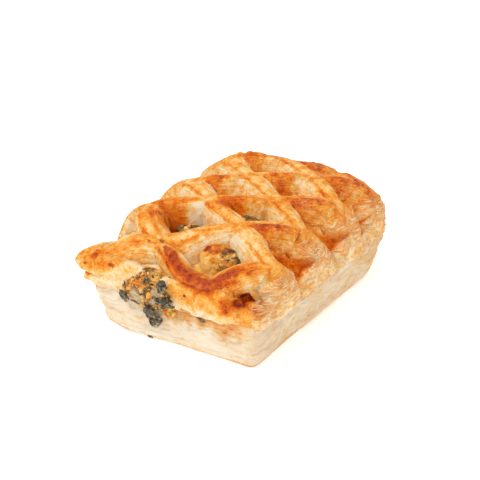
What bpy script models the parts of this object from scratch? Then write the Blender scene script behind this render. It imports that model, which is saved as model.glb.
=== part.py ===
# Spinach and feta lattice pastry, standing on its flat underside.
# X is the pastry's width, Y its length and Z up. The origin is the middle of the underside.

import math

import bmesh
import bpy
import numpy as np
from mathutils import Matrix, Vector

MM = 0.001
GAP = 0.3 * MM

# Driving dimensions of the whole pastry
BASE_WIDTH = 81 * MM
BASE_LENGTH = 120 * MM
SEAM_HEIGHT = 18 * MM
CREST_HEIGHT = 45 * MM
HOLLOW_HEIGHT = 34.5 * MM
FILLING_HEIGHT = 31 * MM
BASE_FLOOR = 3.5 * MM

# Reach of the three domes at the seam: left and right, then front and back
CREST_REACH = ((46.0 * MM, 43.5 * MM), (60.0 * MM, 64.0 * MM))
HOLLOW_REACH = ((40.0 * MM, 38.0 * MM), (56.5 * MM, 59.5 * MM))
FILLING_REACH = ((34.5 * MM, 33.0 * MM), (51.0 * MM, 53.5 * MM))
DOME_POWER = 3.2

# How much each corner of the domes is cut back: left front and back, then right front and back
CORNER_CUTS = ((0.03, 0.10), (0.05, 0.17))
CORNER_POWER = 5.0
CORNER_SHARE_ALONG = 0.7

# The lattice: crossing (i, j) is where strip i of one slant meets strip j of the other
CROSSING_ORIGIN = (13.2 * MM, -57.7 * MM)
CROSSING_STEP = (22.5 * MM, 15.05 * MM)
STRIP_HALF_WIDTH = 6.4 * MM
STRIP_POWER = 2.2

# Past these rows of crossings the strips run together into blunt ends: row, spread per step outward
SIDE_ROWS = ((-2, 0.25), (1, 0.6))
END_ROWS = ((0, 1.5), (8, 1.5))

# Where the lattice was pulled out of its rule: crossing, shift, reach
PULLS = (
    ((0, 0), (1.5 * MM, -2 * MM, -7.0 * MM), 12 * MM),
    ((0, 0.5), (-1 * MM, -4 * MM, -8 * MM), 9 * MM),
    ((0.5, 0), (1 * MM, -1 * MM, -1.5 * MM), 8 * MM),
    ((0, 1), (-2 * MM, -5 * MM, -2.5 * MM), 11 * MM),
    ((0.5, 1), (-2 * MM, 1 * MM, -1 * MM), 8 * MM),
    ((-0.5, 1), (-4 * MM, -1 * MM, -2 * MM), 8 * MM),
    ((-1, 1), (-6 * MM, -1 * MM, -5.0 * MM), 13 * MM),
    ((-1.5, 1.2), (-4 * MM, -2 * MM, 0.5 * MM), 9 * MM),
    ((1, 0), (4 * MM, -1 * MM, -0.5 * MM), 10 * MM),
)

# How far the lattice mesh runs past the seam before it is trimmed there
TRIM_MARGIN = 9.5 * MM

# The shifts fade out over this height above the seam
PULL_FADE = 6 * MM

# Openings right through the lid: middle and half sizes, counted in lattice steps
OPEN_CELLS = (
    ((0.5, 0.5), (0.235, 0.235)),
    ((0.48, 1.56), (0.18, 0.18)),
    ((1.45, 1.56), (0.20, 0.18)),
)
OPENING_CORNER = 0.6
OPENING_SIDES = 20
OPENING_BOTTOM = 10 * MM
OPENING_TOP = 70 * MM

# A small torn slit low on the front: middle, half sizes across and up, tilt in degrees
SLIT_MIDDLE = (28.5 * MM, -56 * MM, 26.0 * MM)
SLIT_HALF = (5.0 * MM, 1.9 * MM)
SLIT_TILT = -8.0
SLIT_SIDES = 12
SLIT_FRONT = -64 * MM
SLIT_BACK = -47 * MM

# Lumps of filling: middle, half sizes
LUMPS = (
    ((9.5 * MM, -37.5 * MM, 30.0 * MM), (9.5 * MM, 7.5 * MM, 7.0 * MM)),
    ((-10.5 * MM, -56.0 * MM, 20.5 * MM), (14.5 * MM, 6.5 * MM, 8.5 * MM)),
    ((-12.0 * MM, -25.0 * MM, 31.0 * MM), (6.0 * MM, 3.8 * MM, 4.8 * MM)),
    ((5.5 * MM, -12.0 * MM, 31.0 * MM), (5.5 * MM, 3.8 * MM, 5.2 * MM)),
)
LUMP_SWELL = 0.04
SWELL_WAVES = (5.1, 4.3, 4.7)
SPILT_LUMP = 1

# Leaves over the spilt filling: name, middle of the upper edge across and up, half width, length, lean
LEAVES = (
    ("spinach_leaf_hanging", (-8.5 * MM, 16.5 * MM), 3.4 * MM, 9.8 * MM, -16.0),
    ("spinach_leaf_left", (-22.5 * MM, 20.5 * MM), 2.4 * MM, 6.5 * MM, -20.0),
    ("spinach_leaf_right", (0.2 * MM, 22.2 * MM), 4.0 * MM, 4.6 * MM, 12.0),
    ("spinach_leaf_top", (-3.5 * MM, 28.8 * MM), 2.6 * MM, 4.8 * MM, -25.0),
)
LEAF_THICKNESS = 0.6 * MM
LEAF_CLEARANCE = 0.5 * MM
LEAF_WAVE = 0.25 * MM

CRUST_COLOUR = (0.80, 0.50, 0.20)
DOUGH_COLOUR = (0.88, 0.72, 0.46)
FILLING_COLOUR = (0.42, 0.32, 0.12)
LEAF_COLOUR = (0.05, 0.07, 0.04)


def make_material(name, colour, roughness):
    material = bpy.data.materials.new(name)
    material.use_nodes = True
    shader = material.node_tree.nodes["Principled BSDF"]
    shader.inputs["Base Color"].default_value = (*colour, 1.0)
    shader.inputs["Roughness"].default_value = roughness
    shader.inputs["Metallic"].default_value = 0.0
    return material


def add_object(name, mesh, material=None):
    piece = bpy.data.objects.new(name, mesh)
    bpy.context.scene.collection.objects.link(piece)
    if material is not None:
        mesh.materials.append(material)
        mesh.shade_smooth()
        mesh.set_sharp_from_angle(angle=math.radians(40))
    return piece


def as_cutter(piece):
    piece.hide_render = True
    piece.display_type = "WIRE"
    return piece


def apply_boolean(piece, other, operation):
    modifier = piece.modifiers.new(operation.lower(), "BOOLEAN")
    modifier.object = other
    modifier.operation = operation
    modifier.solver = "EXACT"
    bpy.context.view_layer.update()
    evaluated = piece.evaluated_get(bpy.context.evaluated_depsgraph_get())
    mesh = bpy.data.meshes.new_from_object(evaluated)
    piece.modifiers.remove(modifier)
    piece.data = mesh
    bpy.data.objects.remove(other)


def face_outward(mesh):
    work = bmesh.new()
    work.from_mesh(mesh)
    bmesh.ops.recalc_face_normals(work, faces=work.faces)
    work.to_mesh(mesh)
    work.free()


# The dome's section: a rounded box curve, read by its length from the top to the seam
def dome_section(half, height):
    across = np.linspace(0.0, 1.0, 2001)
    up = np.power(1.0 - np.power(across, DOME_POWER), 1.0 / DOME_POWER)
    steps = np.hypot(np.diff(across) * half, np.diff(up) * height)
    length = np.concatenate(([0.0], np.cumsum(steps)))
    return across, up, length


SECTIONS = [dome_section(sum(reach) / 2, CREST_HEIGHT - SEAM_HEIGHT) for reach in CREST_REACH]
FLAT_HALF = [section[2][-1] for section in SECTIONS]


# Position on a dome of the point whose distances from the middle, laid flat, are p and q
def dome_point(p, q, reaches, height):
    across = []
    up = []
    for distance, section in zip((p, q), SECTIONS):
        share_across, share_up, length = section
        along = np.minimum(np.abs(distance), length[-1])
        across.append(np.interp(along, length, share_across))
        up.append(np.interp(along, length, share_up))
    right = (p > 0).astype(int)
    back = (q > 0).astype(int)
    cut = np.array(CORNER_CUTS)[right, back] * np.power(across[0] * across[1], CORNER_POWER)
    x = across[0] * np.where(right, reaches[0][1], -reaches[0][0]) * (1 - cut)
    y = across[1] * np.where(back, reaches[1][1], -reaches[1][0]) * (1 - CORNER_SHARE_ALONG * cut)
    return np.stack([x, y, SEAM_HEIGHT + height * up[0] * up[1]], axis=-1)


def crossing_place(i, j):
    return (
        CROSSING_ORIGIN[0] + CROSSING_STEP[0] * (i - j),
        CROSSING_ORIGIN[1] + CROSSING_STEP[1] * (i + j),
    )


SLANT_LENGTH = math.hypot(*CROSSING_STEP)
STRIP_PERIOD = 2 * CROSSING_STEP[0] * CROSSING_STEP[1] / SLANT_LENGTH


# A strip's section: full at its crest, falling ever steeper to nothing at its foot
def strip_section(share):
    body = np.maximum(0.0, 1.0 - np.power(np.minimum(share, 1.0), STRIP_POWER))
    return np.power(body, 1.0 / STRIP_POWER)


# Blunt ends past one row of crossings, along axis 0 at the sides and axis 1 at the front and back
def blunt_ends(place, axis, row, spread):
    other = 1 - axis
    line = CROSSING_ORIGIN[axis] + CROSSING_STEP[axis] * row
    outward = np.maximum(0.0, (place[axis] - line) * math.copysign(1.0, line))
    first = CROSSING_ORIGIN[other] + CROSSING_STEP[other] * row
    period = 2 * CROSSING_STEP[other]
    sideways = place[other] - first
    sideways = np.abs(sideways - period * np.round(sideways / period))
    half = STRIP_HALF_WIDTH * SLANT_LENGTH / CROSSING_STEP[axis] + spread * outward
    return outward > 0, strip_section(sideways / half)


# How far the surface stands up towards the strips' crests, from 0 in a hollow to 1
def strip_rise(i, j):
    place = crossing_place(i, j)
    rise = np.zeros(np.shape(i))
    for line in (i, j):
        distance = np.abs(line - np.round(line)) * STRIP_PERIOD
        rise = np.maximum(rise, strip_section(distance / STRIP_HALF_WIDTH))
    ends = np.zeros(np.shape(i))
    outside = np.zeros(np.shape(i), dtype=bool)
    for axis, rows in enumerate((SIDE_ROWS, END_ROWS)):
        for row, spread in rows:
            past, blunt = blunt_ends(place, axis, row, spread)
            ends = np.maximum(ends, np.where(past, blunt, 0.0))
            outside = outside | past
    return np.where(outside, ends, rise)


def lid_surface(i, j):
    p, q = crossing_place(i, j)
    crest = dome_point(p, q, CREST_REACH, CREST_HEIGHT - SEAM_HEIGHT)
    hollow = dome_point(p, q, HOLLOW_REACH, HOLLOW_HEIGHT - SEAM_HEIGHT)
    rise = strip_rise(i, j)[..., None]
    points = hollow + (crest - hollow) * rise
    above_seam = np.clip((points[..., 2] - SEAM_HEIGHT) / PULL_FADE, 0.0, 1.0)
    for crossing, shift, reach in PULLS:
        middle = crossing_place(*crossing)
        away = np.hypot(p - middle[0], q - middle[1]) / reach
        weight = np.exp(-away * away) * above_seam
        points = points + weight[..., None] * np.array(shift)
    return points


# Rows of the lattice mesh, close together on the steep faces of the strips
def strip_rows(first, last):
    half = STRIP_HALF_WIDTH / STRIP_PERIOD
    angles = [math.radians(angle) for angle in (38, 66, 90)]
    offsets = [half * math.sin(angle) for angle in angles] + [0.41]
    offsets = [-offset for offset in reversed(offsets)] + [0.0] + offsets
    return np.array([line + offset for line in range(first, last) for offset in offsets])


# The lid's upper surface laid flat in the lattice, trimmed to the seam and lifted into shape
def make_lid(material):
    rows = strip_rows(-4, 9)
    i, j = np.meshgrid(rows, rows, indexing="ij")
    p, q = crossing_place(i, j)
    limits = [flat + TRIM_MARGIN for flat in FLAT_HALF]
    work = bmesh.new()
    vertices = {}
    near = (np.abs(p) < limits[0]) & (np.abs(q) < limits[1])
    for row, column in zip(*np.nonzero(near)):
        vertices[row, column] = work.verts.new((p[row, column], q[row, column], 0.0))
    for row, column in list(vertices):
        corners = [(row, column), (row + 1, column), (row + 1, column + 1), (row, column + 1)]
        if all(corner in vertices for corner in corners):
            work.faces.new([vertices[corner] for corner in corners])
    for axis in (0, 1):
        for side in (-1, 1):
            normal = Vector((0.0, 0.0, 0.0))
            normal[axis] = side
            everything = work.verts[:] + work.edges[:] + work.faces[:]
            bmesh.ops.bisect_plane(
                work,
                geom=everything,
                dist=1e-7,
                plane_co=normal * FLAT_HALF[axis],
                plane_no=normal,
                clear_outer=True,
            )
    flat = np.array([vertex.co for vertex in work.verts])
    across = (flat[:, 0] - CROSSING_ORIGIN[0]) / CROSSING_STEP[0]
    along = (flat[:, 1] - CROSSING_ORIGIN[1]) / CROSSING_STEP[1]
    points = lid_surface(np.round((along + across) / 2, 6), np.round((along - across) / 2, 6))
    for vertex, point in zip(work.verts, points):
        vertex.co = point
    bmesh.ops.remove_doubles(work, verts=work.verts, dist=0.02 * MM)
    rim = [edge for edge in work.edges if edge.is_boundary]
    for vertex in {vertex for edge in rim for vertex in edge.verts}:
        vertex.co.z = SEAM_HEIGHT
    bmesh.ops.holes_fill(work, edges=rim, sides=0)
    bmesh.ops.recalc_face_normals(work, faces=work.faces)
    mesh = bpy.data.meshes.new("lattice_lid")
    work.to_mesh(mesh)
    work.free()
    return add_object("lattice_lid", mesh, material)


# An upright prism that opens one cell of the lattice, its outline lifted from the cell's hollow
def make_opening_cutter(middle, half):
    outline = []
    for step in range(OPENING_SIDES):
        angle = 2 * math.pi * (step + 0.5) / OPENING_SIDES
        turns = (math.cos(angle), math.sin(angle))
        share = [math.copysign(abs(turn) ** OPENING_CORNER, turn) for turn in turns]
        i = middle[0] + share[0] * half[0]
        j = middle[1] + share[1] * half[1]
        outline.append(lid_surface(np.array(i), np.array(j)))
    work = bmesh.new()
    face = work.faces.new([work.verts.new((place[0], place[1], OPENING_BOTTOM)) for place in outline])
    raised = bmesh.ops.extrude_face_region(work, geom=[face])["geom"]
    tops = [part for part in raised if isinstance(part, bmesh.types.BMVert)]
    bmesh.ops.translate(work, verts=tops, vec=(0, 0, OPENING_TOP - OPENING_BOTTOM))
    bmesh.ops.recalc_face_normals(work, faces=work.faces)
    mesh = bpy.data.meshes.new("opening_cutter")
    work.to_mesh(mesh)
    work.free()
    return as_cutter(add_object("opening_cutter", mesh))


# A level bar that tears the small slit from the front face through to the filling
def make_slit_cutter():
    work = bmesh.new()
    turn = Matrix.Rotation(math.radians(SLIT_TILT), 3, "Y")
    outline = []
    for step in range(SLIT_SIDES):
        angle = 2 * math.pi * step / SLIT_SIDES
        offset = turn @ Vector((math.cos(angle) * SLIT_HALF[0], 0.0, math.sin(angle) * SLIT_HALF[1]))
        place = Vector(SLIT_MIDDLE) + offset
        outline.append(work.verts.new((place.x, SLIT_FRONT, place.z)))
    raised = bmesh.ops.extrude_face_region(work, geom=[work.faces.new(outline)])["geom"]
    backs = [part for part in raised if isinstance(part, bmesh.types.BMVert)]
    bmesh.ops.translate(work, verts=backs, vec=(0, SLIT_BACK - SLIT_FRONT, 0))
    bmesh.ops.recalc_face_normals(work, faces=work.faces)
    mesh = bpy.data.meshes.new("slit_cutter")
    work.to_mesh(mesh)
    work.free()
    return as_cutter(add_object("slit_cutter", mesh))


# A closed body with a dome above the seam and a rounded tray shape below it, grown by a margin
def make_filling_core(name, grow):
    columns, rows = 14, 20
    reaches = [(low + grow, high + grow) for low, high in FILLING_REACH]
    heights = (FILLING_HEIGHT - SEAM_HEIGHT + grow, -(SEAM_HEIGHT - BASE_FLOOR - GAP + grow))
    work = bmesh.new()
    layers = []
    for height in heights:
        layer = {}
        for column in range(columns + 1):
            for row in range(rows + 1):
                p = FLAT_HALF[0] * (2 * column / columns - 1)
                q = FLAT_HALF[1] * (2 * row / rows - 1)
                edge = column in (0, columns) or row in (0, rows)
                if edge and layers:
                    layer[column, row] = layers[0][column, row]
                else:
                    layer[column, row] = work.verts.new(dome_point(p, q, reaches, height))
        layers.append(layer)
        for column in range(columns):
            for row in range(rows):
                corners = [(column, row), (column + 1, row), (column + 1, row + 1), (column, row + 1)]
                work.faces.new([layer[corner] for corner in corners])
    bmesh.ops.recalc_face_normals(work, faces=work.faces)
    mesh = bpy.data.meshes.new(name)
    work.to_mesh(mesh)
    work.free()
    return add_object(name, mesh)


def make_lump(middle, half, grow):
    work = bmesh.new()
    bmesh.ops.create_icosphere(work, subdivisions=3, radius=1.0)
    for vertex in work.verts:
        direction = vertex.co.normalized()
        phases = [direction[axis] * SWELL_WAVES[axis] + middle[axis] / MM for axis in range(3)]
        swell = 1.0 + LUMP_SWELL * sum(math.sin(phase) for phase in phases)
        vertex.co = [
            middle[axis] + direction[axis] * (half[axis] * swell + grow) for axis in range(3)
        ]
    bmesh.ops.recalc_face_normals(work, faces=work.faces)
    mesh = bpy.data.meshes.new("lump")
    work.to_mesh(mesh)
    work.free()
    return as_cutter(add_object("lump", mesh))


def make_filling(name, grow):
    filling = make_filling_core(name, grow)
    for middle, half in LUMPS:
        apply_boolean(filling, make_lump(middle, half, grow), "UNION")
    face_outward(filling.data)
    return filling


# One level of the base's outline: a box with rounded corners, the near right one the sharpest
def base_outline(inset):
    half = (BASE_WIDTH / 2 - inset, BASE_LENGTH / 2 - inset)
    corners = (
        ((1, -1), 5 * MM),
        ((1, 1), 9 * MM),
        ((-1, 1), 9 * MM),
        ((-1, -1), 7 * MM),
    )
    outline = []
    for turn, ((side_x, side_y), radius) in enumerate(corners):
        centre = (side_x * (half[0] - radius), side_y * (half[1] - radius))
        for step in range(7):
            angle = math.radians(-90 + 90 * turn + 90 * step / 6)
            outline.append((centre[0] + radius * math.cos(angle), centre[1] + radius * math.sin(angle)))
    return outline


# The lower sheet: side walls with a thin crust line at the foot, up to the seam
def make_base(material):
    levels = (
        (0.0, 1.4 * MM),
        (0.8 * MM, 0.5 * MM),
        (2.2 * MM, 0.3 * MM),
        (6.0 * MM, 0.9 * MM),
        (11.0 * MM, 0.2 * MM),
        (15.5 * MM, 0.7 * MM),
        (SEAM_HEIGHT - GAP, 0.4 * MM),
    )
    work = bmesh.new()
    rings = []
    for height, inset in levels:
        rings.append([work.verts.new((x, y, height)) for x, y in base_outline(inset)])
    for lower, upper in zip(rings, rings[1:]):
        for index in range(len(lower)):
            following = (index + 1) % len(lower)
            work.faces.new((lower[index], lower[following], upper[following], upper[index]))
    work.faces.new(rings[0])
    work.faces.new(rings[-1])
    bmesh.ops.recalc_face_normals(work, faces=work.faces)
    mesh = bpy.data.meshes.new("pastry_base")
    work.to_mesh(mesh)
    work.free()
    return add_object("pastry_base", mesh, material)


# How far forward the spilt filling and the base's front reach at a place on the front
def front_reach(x, z):
    middle, half = LUMPS[SPILT_LUMP]
    size = [(reach + LEAF_CLEARANCE) * (1 + 3 * LUMP_SWELL) for reach in half]
    inside = 1 - ((x - middle[0]) / size[0]) ** 2 - ((z - middle[2]) / size[2]) ** 2
    lump = middle[1] - size[1] * math.sqrt(max(0.0, inside))
    return min(lump, -BASE_LENGTH / 2 - LEAF_CLEARANCE)


# A thin wavy leaf draped over the front of the spilt filling
def make_leaf(name, top, half_width, length, lean, material):
    columns, rows = 4, 6
    turn = Matrix.Rotation(math.radians(lean), 3, "Y")
    work = bmesh.new()
    sheets = []
    for side in (0.0, 1.0):
        sheet = {}
        for column in range(columns + 1):
            for row in range(rows + 1):
                across = 2 * column / columns - 1
                down = row / rows
                width = half_width * (0.8 + 0.2 * math.sin(9 * down + across))
                place = turn @ Vector((across * width, 0.0, -down * length))
                x = top[0] + place.x
                z = top[1] + place.z
                wave = LEAF_WAVE * (1 + math.sin(7 * down + 2.5 * across))
                y = front_reach(x, z) - wave - side * LEAF_THICKNESS
                sheet[column, row] = work.verts.new((x, y, z))
        sheets.append(sheet)
        for column in range(columns):
            for row in range(rows):
                corners = [(column, row), (column + 1, row), (column + 1, row + 1), (column, row + 1)]
                quad = [sheet[corner] for corner in corners]
                work.faces.new((quad[0], quad[1], quad[2]))
                work.faces.new((quad[0], quad[2], quad[3]))
    rim = [(column, 0) for column in range(columns)]
    rim += [(columns, row) for row in range(rows)]
    rim += [(column, rows) for column in range(columns, 0, -1)]
    rim += [(0, row) for row in range(rows, 0, -1)]
    for index, place in enumerate(rim):
        following = rim[(index + 1) % len(rim)]
        edge = (sheets[0][place], sheets[0][following], sheets[1][following], sheets[1][place])
        work.faces.new(edge)
    bmesh.ops.recalc_face_normals(work, faces=work.faces)
    mesh = bpy.data.meshes.new(name)
    work.to_mesh(mesh)
    work.free()
    return add_object(name, mesh, material)


def main():
    for old in list(bpy.data.objects):
        bpy.data.objects.remove(old)

    crust = make_material("baked_crust", CRUST_COLOUR, 0.45)
    dough = make_material("side_dough", DOUGH_COLOUR, 0.65)
    spinach_feta = make_material("spinach_feta_filling", FILLING_COLOUR, 0.7)
    leaf = make_material("spinach_leaf", LEAF_COLOUR, 0.5)

    filling = make_filling("filling", 0.0)
    filling.data.materials.append(spinach_feta)

    lid = make_lid(crust)
    for middle, half in OPEN_CELLS:
        apply_boolean(lid, make_opening_cutter(middle, half), "DIFFERENCE")
    apply_boolean(lid, make_slit_cutter(), "DIFFERENCE")
    apply_boolean(lid, as_cutter(make_filling("room_in_lid", GAP)), "DIFFERENCE")

    base = make_base(dough)
    apply_boolean(base, as_cutter(make_filling("room_in_base", GAP)), "DIFFERENCE")

    for name, top, half_width, length, lean in LEAVES:
        make_leaf(name, top, half_width, length, lean, leaf)


main()
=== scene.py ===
import itertools
import math

import bmesh
import bpy
import numpy as np
from mathutils import Matrix, Vector


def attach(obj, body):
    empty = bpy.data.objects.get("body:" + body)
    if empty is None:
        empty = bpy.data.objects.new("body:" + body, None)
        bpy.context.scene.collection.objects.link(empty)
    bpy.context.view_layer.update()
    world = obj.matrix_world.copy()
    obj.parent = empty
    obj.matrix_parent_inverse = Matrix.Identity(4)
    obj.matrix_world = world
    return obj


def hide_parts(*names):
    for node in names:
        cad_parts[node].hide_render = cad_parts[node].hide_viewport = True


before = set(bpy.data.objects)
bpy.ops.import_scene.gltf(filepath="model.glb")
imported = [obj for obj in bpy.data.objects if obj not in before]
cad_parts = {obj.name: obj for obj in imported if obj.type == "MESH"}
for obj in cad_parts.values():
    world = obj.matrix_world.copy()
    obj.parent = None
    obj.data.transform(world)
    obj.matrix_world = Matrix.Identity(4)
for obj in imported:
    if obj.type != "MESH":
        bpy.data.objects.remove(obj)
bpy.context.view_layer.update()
mm = 0.001

# the pastry's own measures: its solids were made from them, apart from the side rows and the last two pulls
pastry = {
    "baseWidth": 81 * mm,
    "baseLength": 120 * mm,
    "baseFloor": 3.5 * mm,
    "seamHeight": 18 * mm,
    "crestHeight": 45 * mm,
    "hollowHeight": 34.5 * mm,
    "fillingHeight": 31 * mm,
    "crestReach": ((46.0 * mm, 43.5 * mm), (60.0 * mm, 64.0 * mm)),  # left and right, then front and back
    "hollowReach": ((40.0 * mm, 38.0 * mm), (56.5 * mm, 59.5 * mm)),
    "fillingReach": ((34.5 * mm, 33.0 * mm), (51.0 * mm, 53.5 * mm)),
    "domePower": 3.2,
    "cornerCuts": ((0.03, 0.10), (0.05, 0.17)),
    "cornerPower": 5.0,
    "cornerShareAlong": 0.7,
    "crossingOrigin": (13.2 * mm, -57.7 * mm),
    "crossingStep": (22.5 * mm, 15.05 * mm),
    "stripHalfWidth": 6.4 * mm,
    "stripPower": 2.2,
    "sideRows": ((-2, 0.25), (1, 0.42)),
    "endRows": ((0, 1.5), (8, 1.5)),
    "pullFade": 6 * mm,
    "pulls": (  # crossing, shift and reach in mm
        ((0, 0), (1.5, -2, -7.0), 12),
        ((0, 0.5), (-1, -4, -8), 9),
        ((0.5, 0), (1, -1, -1.5), 8),
        ((0, 1), (-2, -5, -2.5), 11),
        ((0.5, 1), (-2, 1, -1), 8),
        ((-0.5, 1), (-4, -1, -2), 8),
        ((-1, 1), (-6, -1, -5.0), 13),
        ((-1.5, 1.2), (-4, -2, 0.5), 9),
        ((1, 0), (4, -1, -0.5), 10),
        ((0.05, 1.46), (-7.5, 0, 0), 10.5),
        ((1, 1.68), (-4, 0, 0), 8),
    ),
}


def joined(*parts):  # x, y and z side by side
    return np.stack(np.broadcast_arrays(*parts), axis=-1)


def ease(value, low, high):  # 0 below low, 1 above high, smooth between
    share = np.clip((value - low) / (high - low), 0.0, 1.0)
    return share * share * (3 - 2 * share)


def bell(value, power=2):  # 1 in the middle, fading to both sides
    return np.exp(-np.abs(value) ** power)


def awayFrom(points, middle, size=1.0):
    return np.linalg.norm((points - np.array(middle)) / size, axis=1)


# smooth random values on a lattice, the same each run
def latticeValue(cells, seed):
    mixed = cells[..., 0] * 374761393 + cells[..., 1] * 668265263 + cells[..., 2] * 1440662683 + seed * 974634777
    mixed = (mixed ^ (mixed >> 13)) * 1274126177
    mixed = (mixed ^ (mixed >> 16)) & 0xFFFF
    return mixed / 65535.0


def softNoise(points, seed):  # -1 to 1, one lump per unit
    base = np.floor(points).astype(np.int64)
    part = points - base
    part = part * part * (3 - 2 * part)
    total = 0.0
    for corner in itertools.product((0, 1), repeat=3):
        weight = 1.0
        for axis in range(3):
            weight = weight * (part[..., axis] if corner[axis] else 1 - part[..., axis])
        total = total + weight * latticeValue(base + np.array(corner), seed)
    return total * 2 - 1


def layeredNoise(points, seed, layers=3, fade=0.5):
    total, weight = 0.0, 1.0
    for layer in range(layers):
        total = total + weight * softNoise(points * 2.03 ** layer + 17.3 * layer, seed + layer)
        weight *= fade
    return total


def curdNoise(points, seed):  # distance to the nearest lump, and its own value
    base = np.floor(points).astype(np.int64)
    nearest = np.full(points.shape[:-1], 9.0)
    second = np.full(points.shape[:-1], 9.0)
    mark = np.zeros(points.shape[:-1])
    for corner in itertools.product((-1, 0, 1), repeat=3):
        cell = base + np.array(corner)
        middle = cell + joined(*[latticeValue(cell, seed + axis) for axis in range(3)])
        away = np.linalg.norm(points - middle, axis=-1)
        closer = away < nearest
        second = np.where(closer, nearest, np.minimum(second, away))
        mark = np.where(closer, latticeValue(cell, seed + 7), mark)
        nearest = np.where(closer, away, nearest)
    return nearest, second, mark


# the two domes and the lattice between them
def domeSection(half, height):
    across = np.linspace(0.0, 1.0, 2001)
    up = np.power(1.0 - np.power(across, pastry["domePower"]), 1.0 / pastry["domePower"])
    steps = np.hypot(np.diff(across) * half, np.diff(up) * height)
    return across, up, np.concatenate(([0.0], np.cumsum(steps)))


crestRise = pastry["crestHeight"] - pastry["seamHeight"]
domeSections = [domeSection(sum(reach) / 2, crestRise) for reach in pastry["crestReach"]]
flatHalf = [section[2][-1] for section in domeSections]


def domePoint(p, q, reaches, height):
    across, up = [], []
    for distance, (shareAcross, shareUp, length) in zip((p, q), domeSections):
        along = np.minimum(np.abs(distance), length[-1])
        across.append(np.interp(along, length, shareAcross))
        up.append(np.interp(along, length, shareUp))
    right = (p > 0).astype(int)
    back = (q > 0).astype(int)
    cut = np.array(pastry["cornerCuts"])[right, back] * np.power(across[0] * across[1], pastry["cornerPower"])
    x = across[0] * np.where(right, reaches[0][1], -reaches[0][0]) * (1 - cut)
    y = across[1] * np.where(back, reaches[1][1], -reaches[1][0]) * (1 - pastry["cornerShareAlong"] * cut)
    return joined(x, y, pastry["seamHeight"] + height * up[0] * up[1])


def crossingPlace(i, j):
    origin, step = pastry["crossingOrigin"], pastry["crossingStep"]
    return origin[0] + step[0] * (i - j), origin[1] + step[1] * (i + j)


slantLength = math.hypot(*pastry["crossingStep"])
stripPeriod = 2 * pastry["crossingStep"][0] * pastry["crossingStep"][1] / slantLength


def stripSection(share):
    body = np.maximum(0.0, 1.0 - np.power(np.minimum(share, 1.0), pastry["stripPower"]))
    return np.power(body, 1.0 / pastry["stripPower"])


def bluntEnds(place, axis, row, spread):
    other = 1 - axis
    origin, step = pastry["crossingOrigin"], pastry["crossingStep"]
    line = origin[axis] + step[axis] * row
    outward = np.maximum(0.0, (place[axis] - line) * math.copysign(1.0, line))
    period = 2 * step[other]
    sideways = place[other] - (origin[other] + step[other] * row)
    sideways = np.abs(sideways - period * np.round(sideways / period))
    half = pastry["stripHalfWidth"] * slantLength / step[axis] + spread * outward
    return outward, stripSection(sideways / half)


# how far the crust stands up, which strip carries it, and how far past the crossings it lies
def stripShape(i, j, wander=0.0):
    place = crossingPlace(i, j)
    rises = []
    for line in (i, j):
        distance = np.abs(line - np.round(line)) * stripPeriod
        rises.append(stripSection(distance / (pastry["stripHalfWidth"] * (1 + wander))))
    inside = np.maximum(*rises)
    ends = np.zeros(np.shape(i))
    outside = np.zeros(np.shape(i))
    for axis, rows in enumerate((pastry["sideRows"], pastry["endRows"])):
        for row, spread in rows:
            outward, blunt = bluntEnds(place, axis, row, spread)
            ends = np.maximum(ends, np.where(outward > 0, blunt, 0.0))
            outside = np.maximum(outside, outward)
    return np.where(outside > 0, ends, inside), rises, outside


# the places of the crust for a standing height between hollow and crest
def crustSurface(i, j, rise):
    p, q = crossingPlace(i, j)
    crest = domePoint(p, q, pastry["crestReach"], crestRise)
    hollow = domePoint(p, q, pastry["hollowReach"], pastry["hollowHeight"] - pastry["seamHeight"])
    points = hollow + (crest - hollow) * rise[..., None]
    aboveSeam = np.clip((points[..., 2] - pastry["seamHeight"]) / pastry["pullFade"], 0.0, 1.0)
    for crossing, shift, reach in pastry["pulls"]:
        middle = crossingPlace(*crossing)
        away = np.hypot(p - middle[0], q - middle[1]) / (reach * mm)
        points = points + (bell(away) * aboveSeam)[..., None] * (np.array(shift) * mm)
    return points


def roundedWall(x, y, outset, corner):  # the nearest place on the base's outline
    half = (pastry["baseWidth"] / 2 + outset, pastry["baseLength"] / 2 + outset)
    awayX = np.abs(x) - (half[0] - corner)
    awayY = np.abs(y) - (half[1] - corner)
    length = np.hypot(np.maximum(awayX, 0), np.maximum(awayY, 0))
    scale = np.minimum(1.0, corner / np.maximum(length, 1e-9))
    newX = np.where(awayX > 0, (half[0] - corner) + awayX * scale, np.abs(x))
    newY = np.where(awayY > 0, (half[1] - corner) + awayY * scale, np.abs(y))
    return np.sign(x) * newX, np.sign(y) * newY


# mesh helpers
def normalsOf(mesh):
    flat = np.empty(len(mesh.vertices) * 3, dtype=np.float32)
    mesh.vertex_normals.foreach_get("vector", flat)
    return flat.reshape(-1, 3).astype(float)


def placesOf(mesh):
    flat = np.empty(len(mesh.vertices) * 3, dtype=np.float32)
    mesh.vertices.foreach_get("co", flat)
    return flat.reshape(-1, 3).astype(float)


def movePoints(mesh, places):
    mesh.vertices.foreach_set("co", places.astype(np.float32).ravel())
    mesh.update()


def keepValues(mesh, **values):  # one number for each vertex, read by the materials
    for name, numbers in values.items():
        kept = mesh.attributes.new(name, "FLOAT", "POINT")
        kept.data.foreach_set("value", np.asarray(numbers, dtype=np.float32))


def keepStrand(mesh, *parts):  # along, down and across the layers
    kept = mesh.attributes.new("strand", "FLOAT_VECTOR", "POINT")
    kept.data.foreach_set("vector", joined(*parts).astype(np.float32).ravel())


def meshFrom(work, name):
    mesh = bpy.data.meshes.new(name)
    work.to_mesh(mesh)
    work.free()
    return mesh


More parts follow.
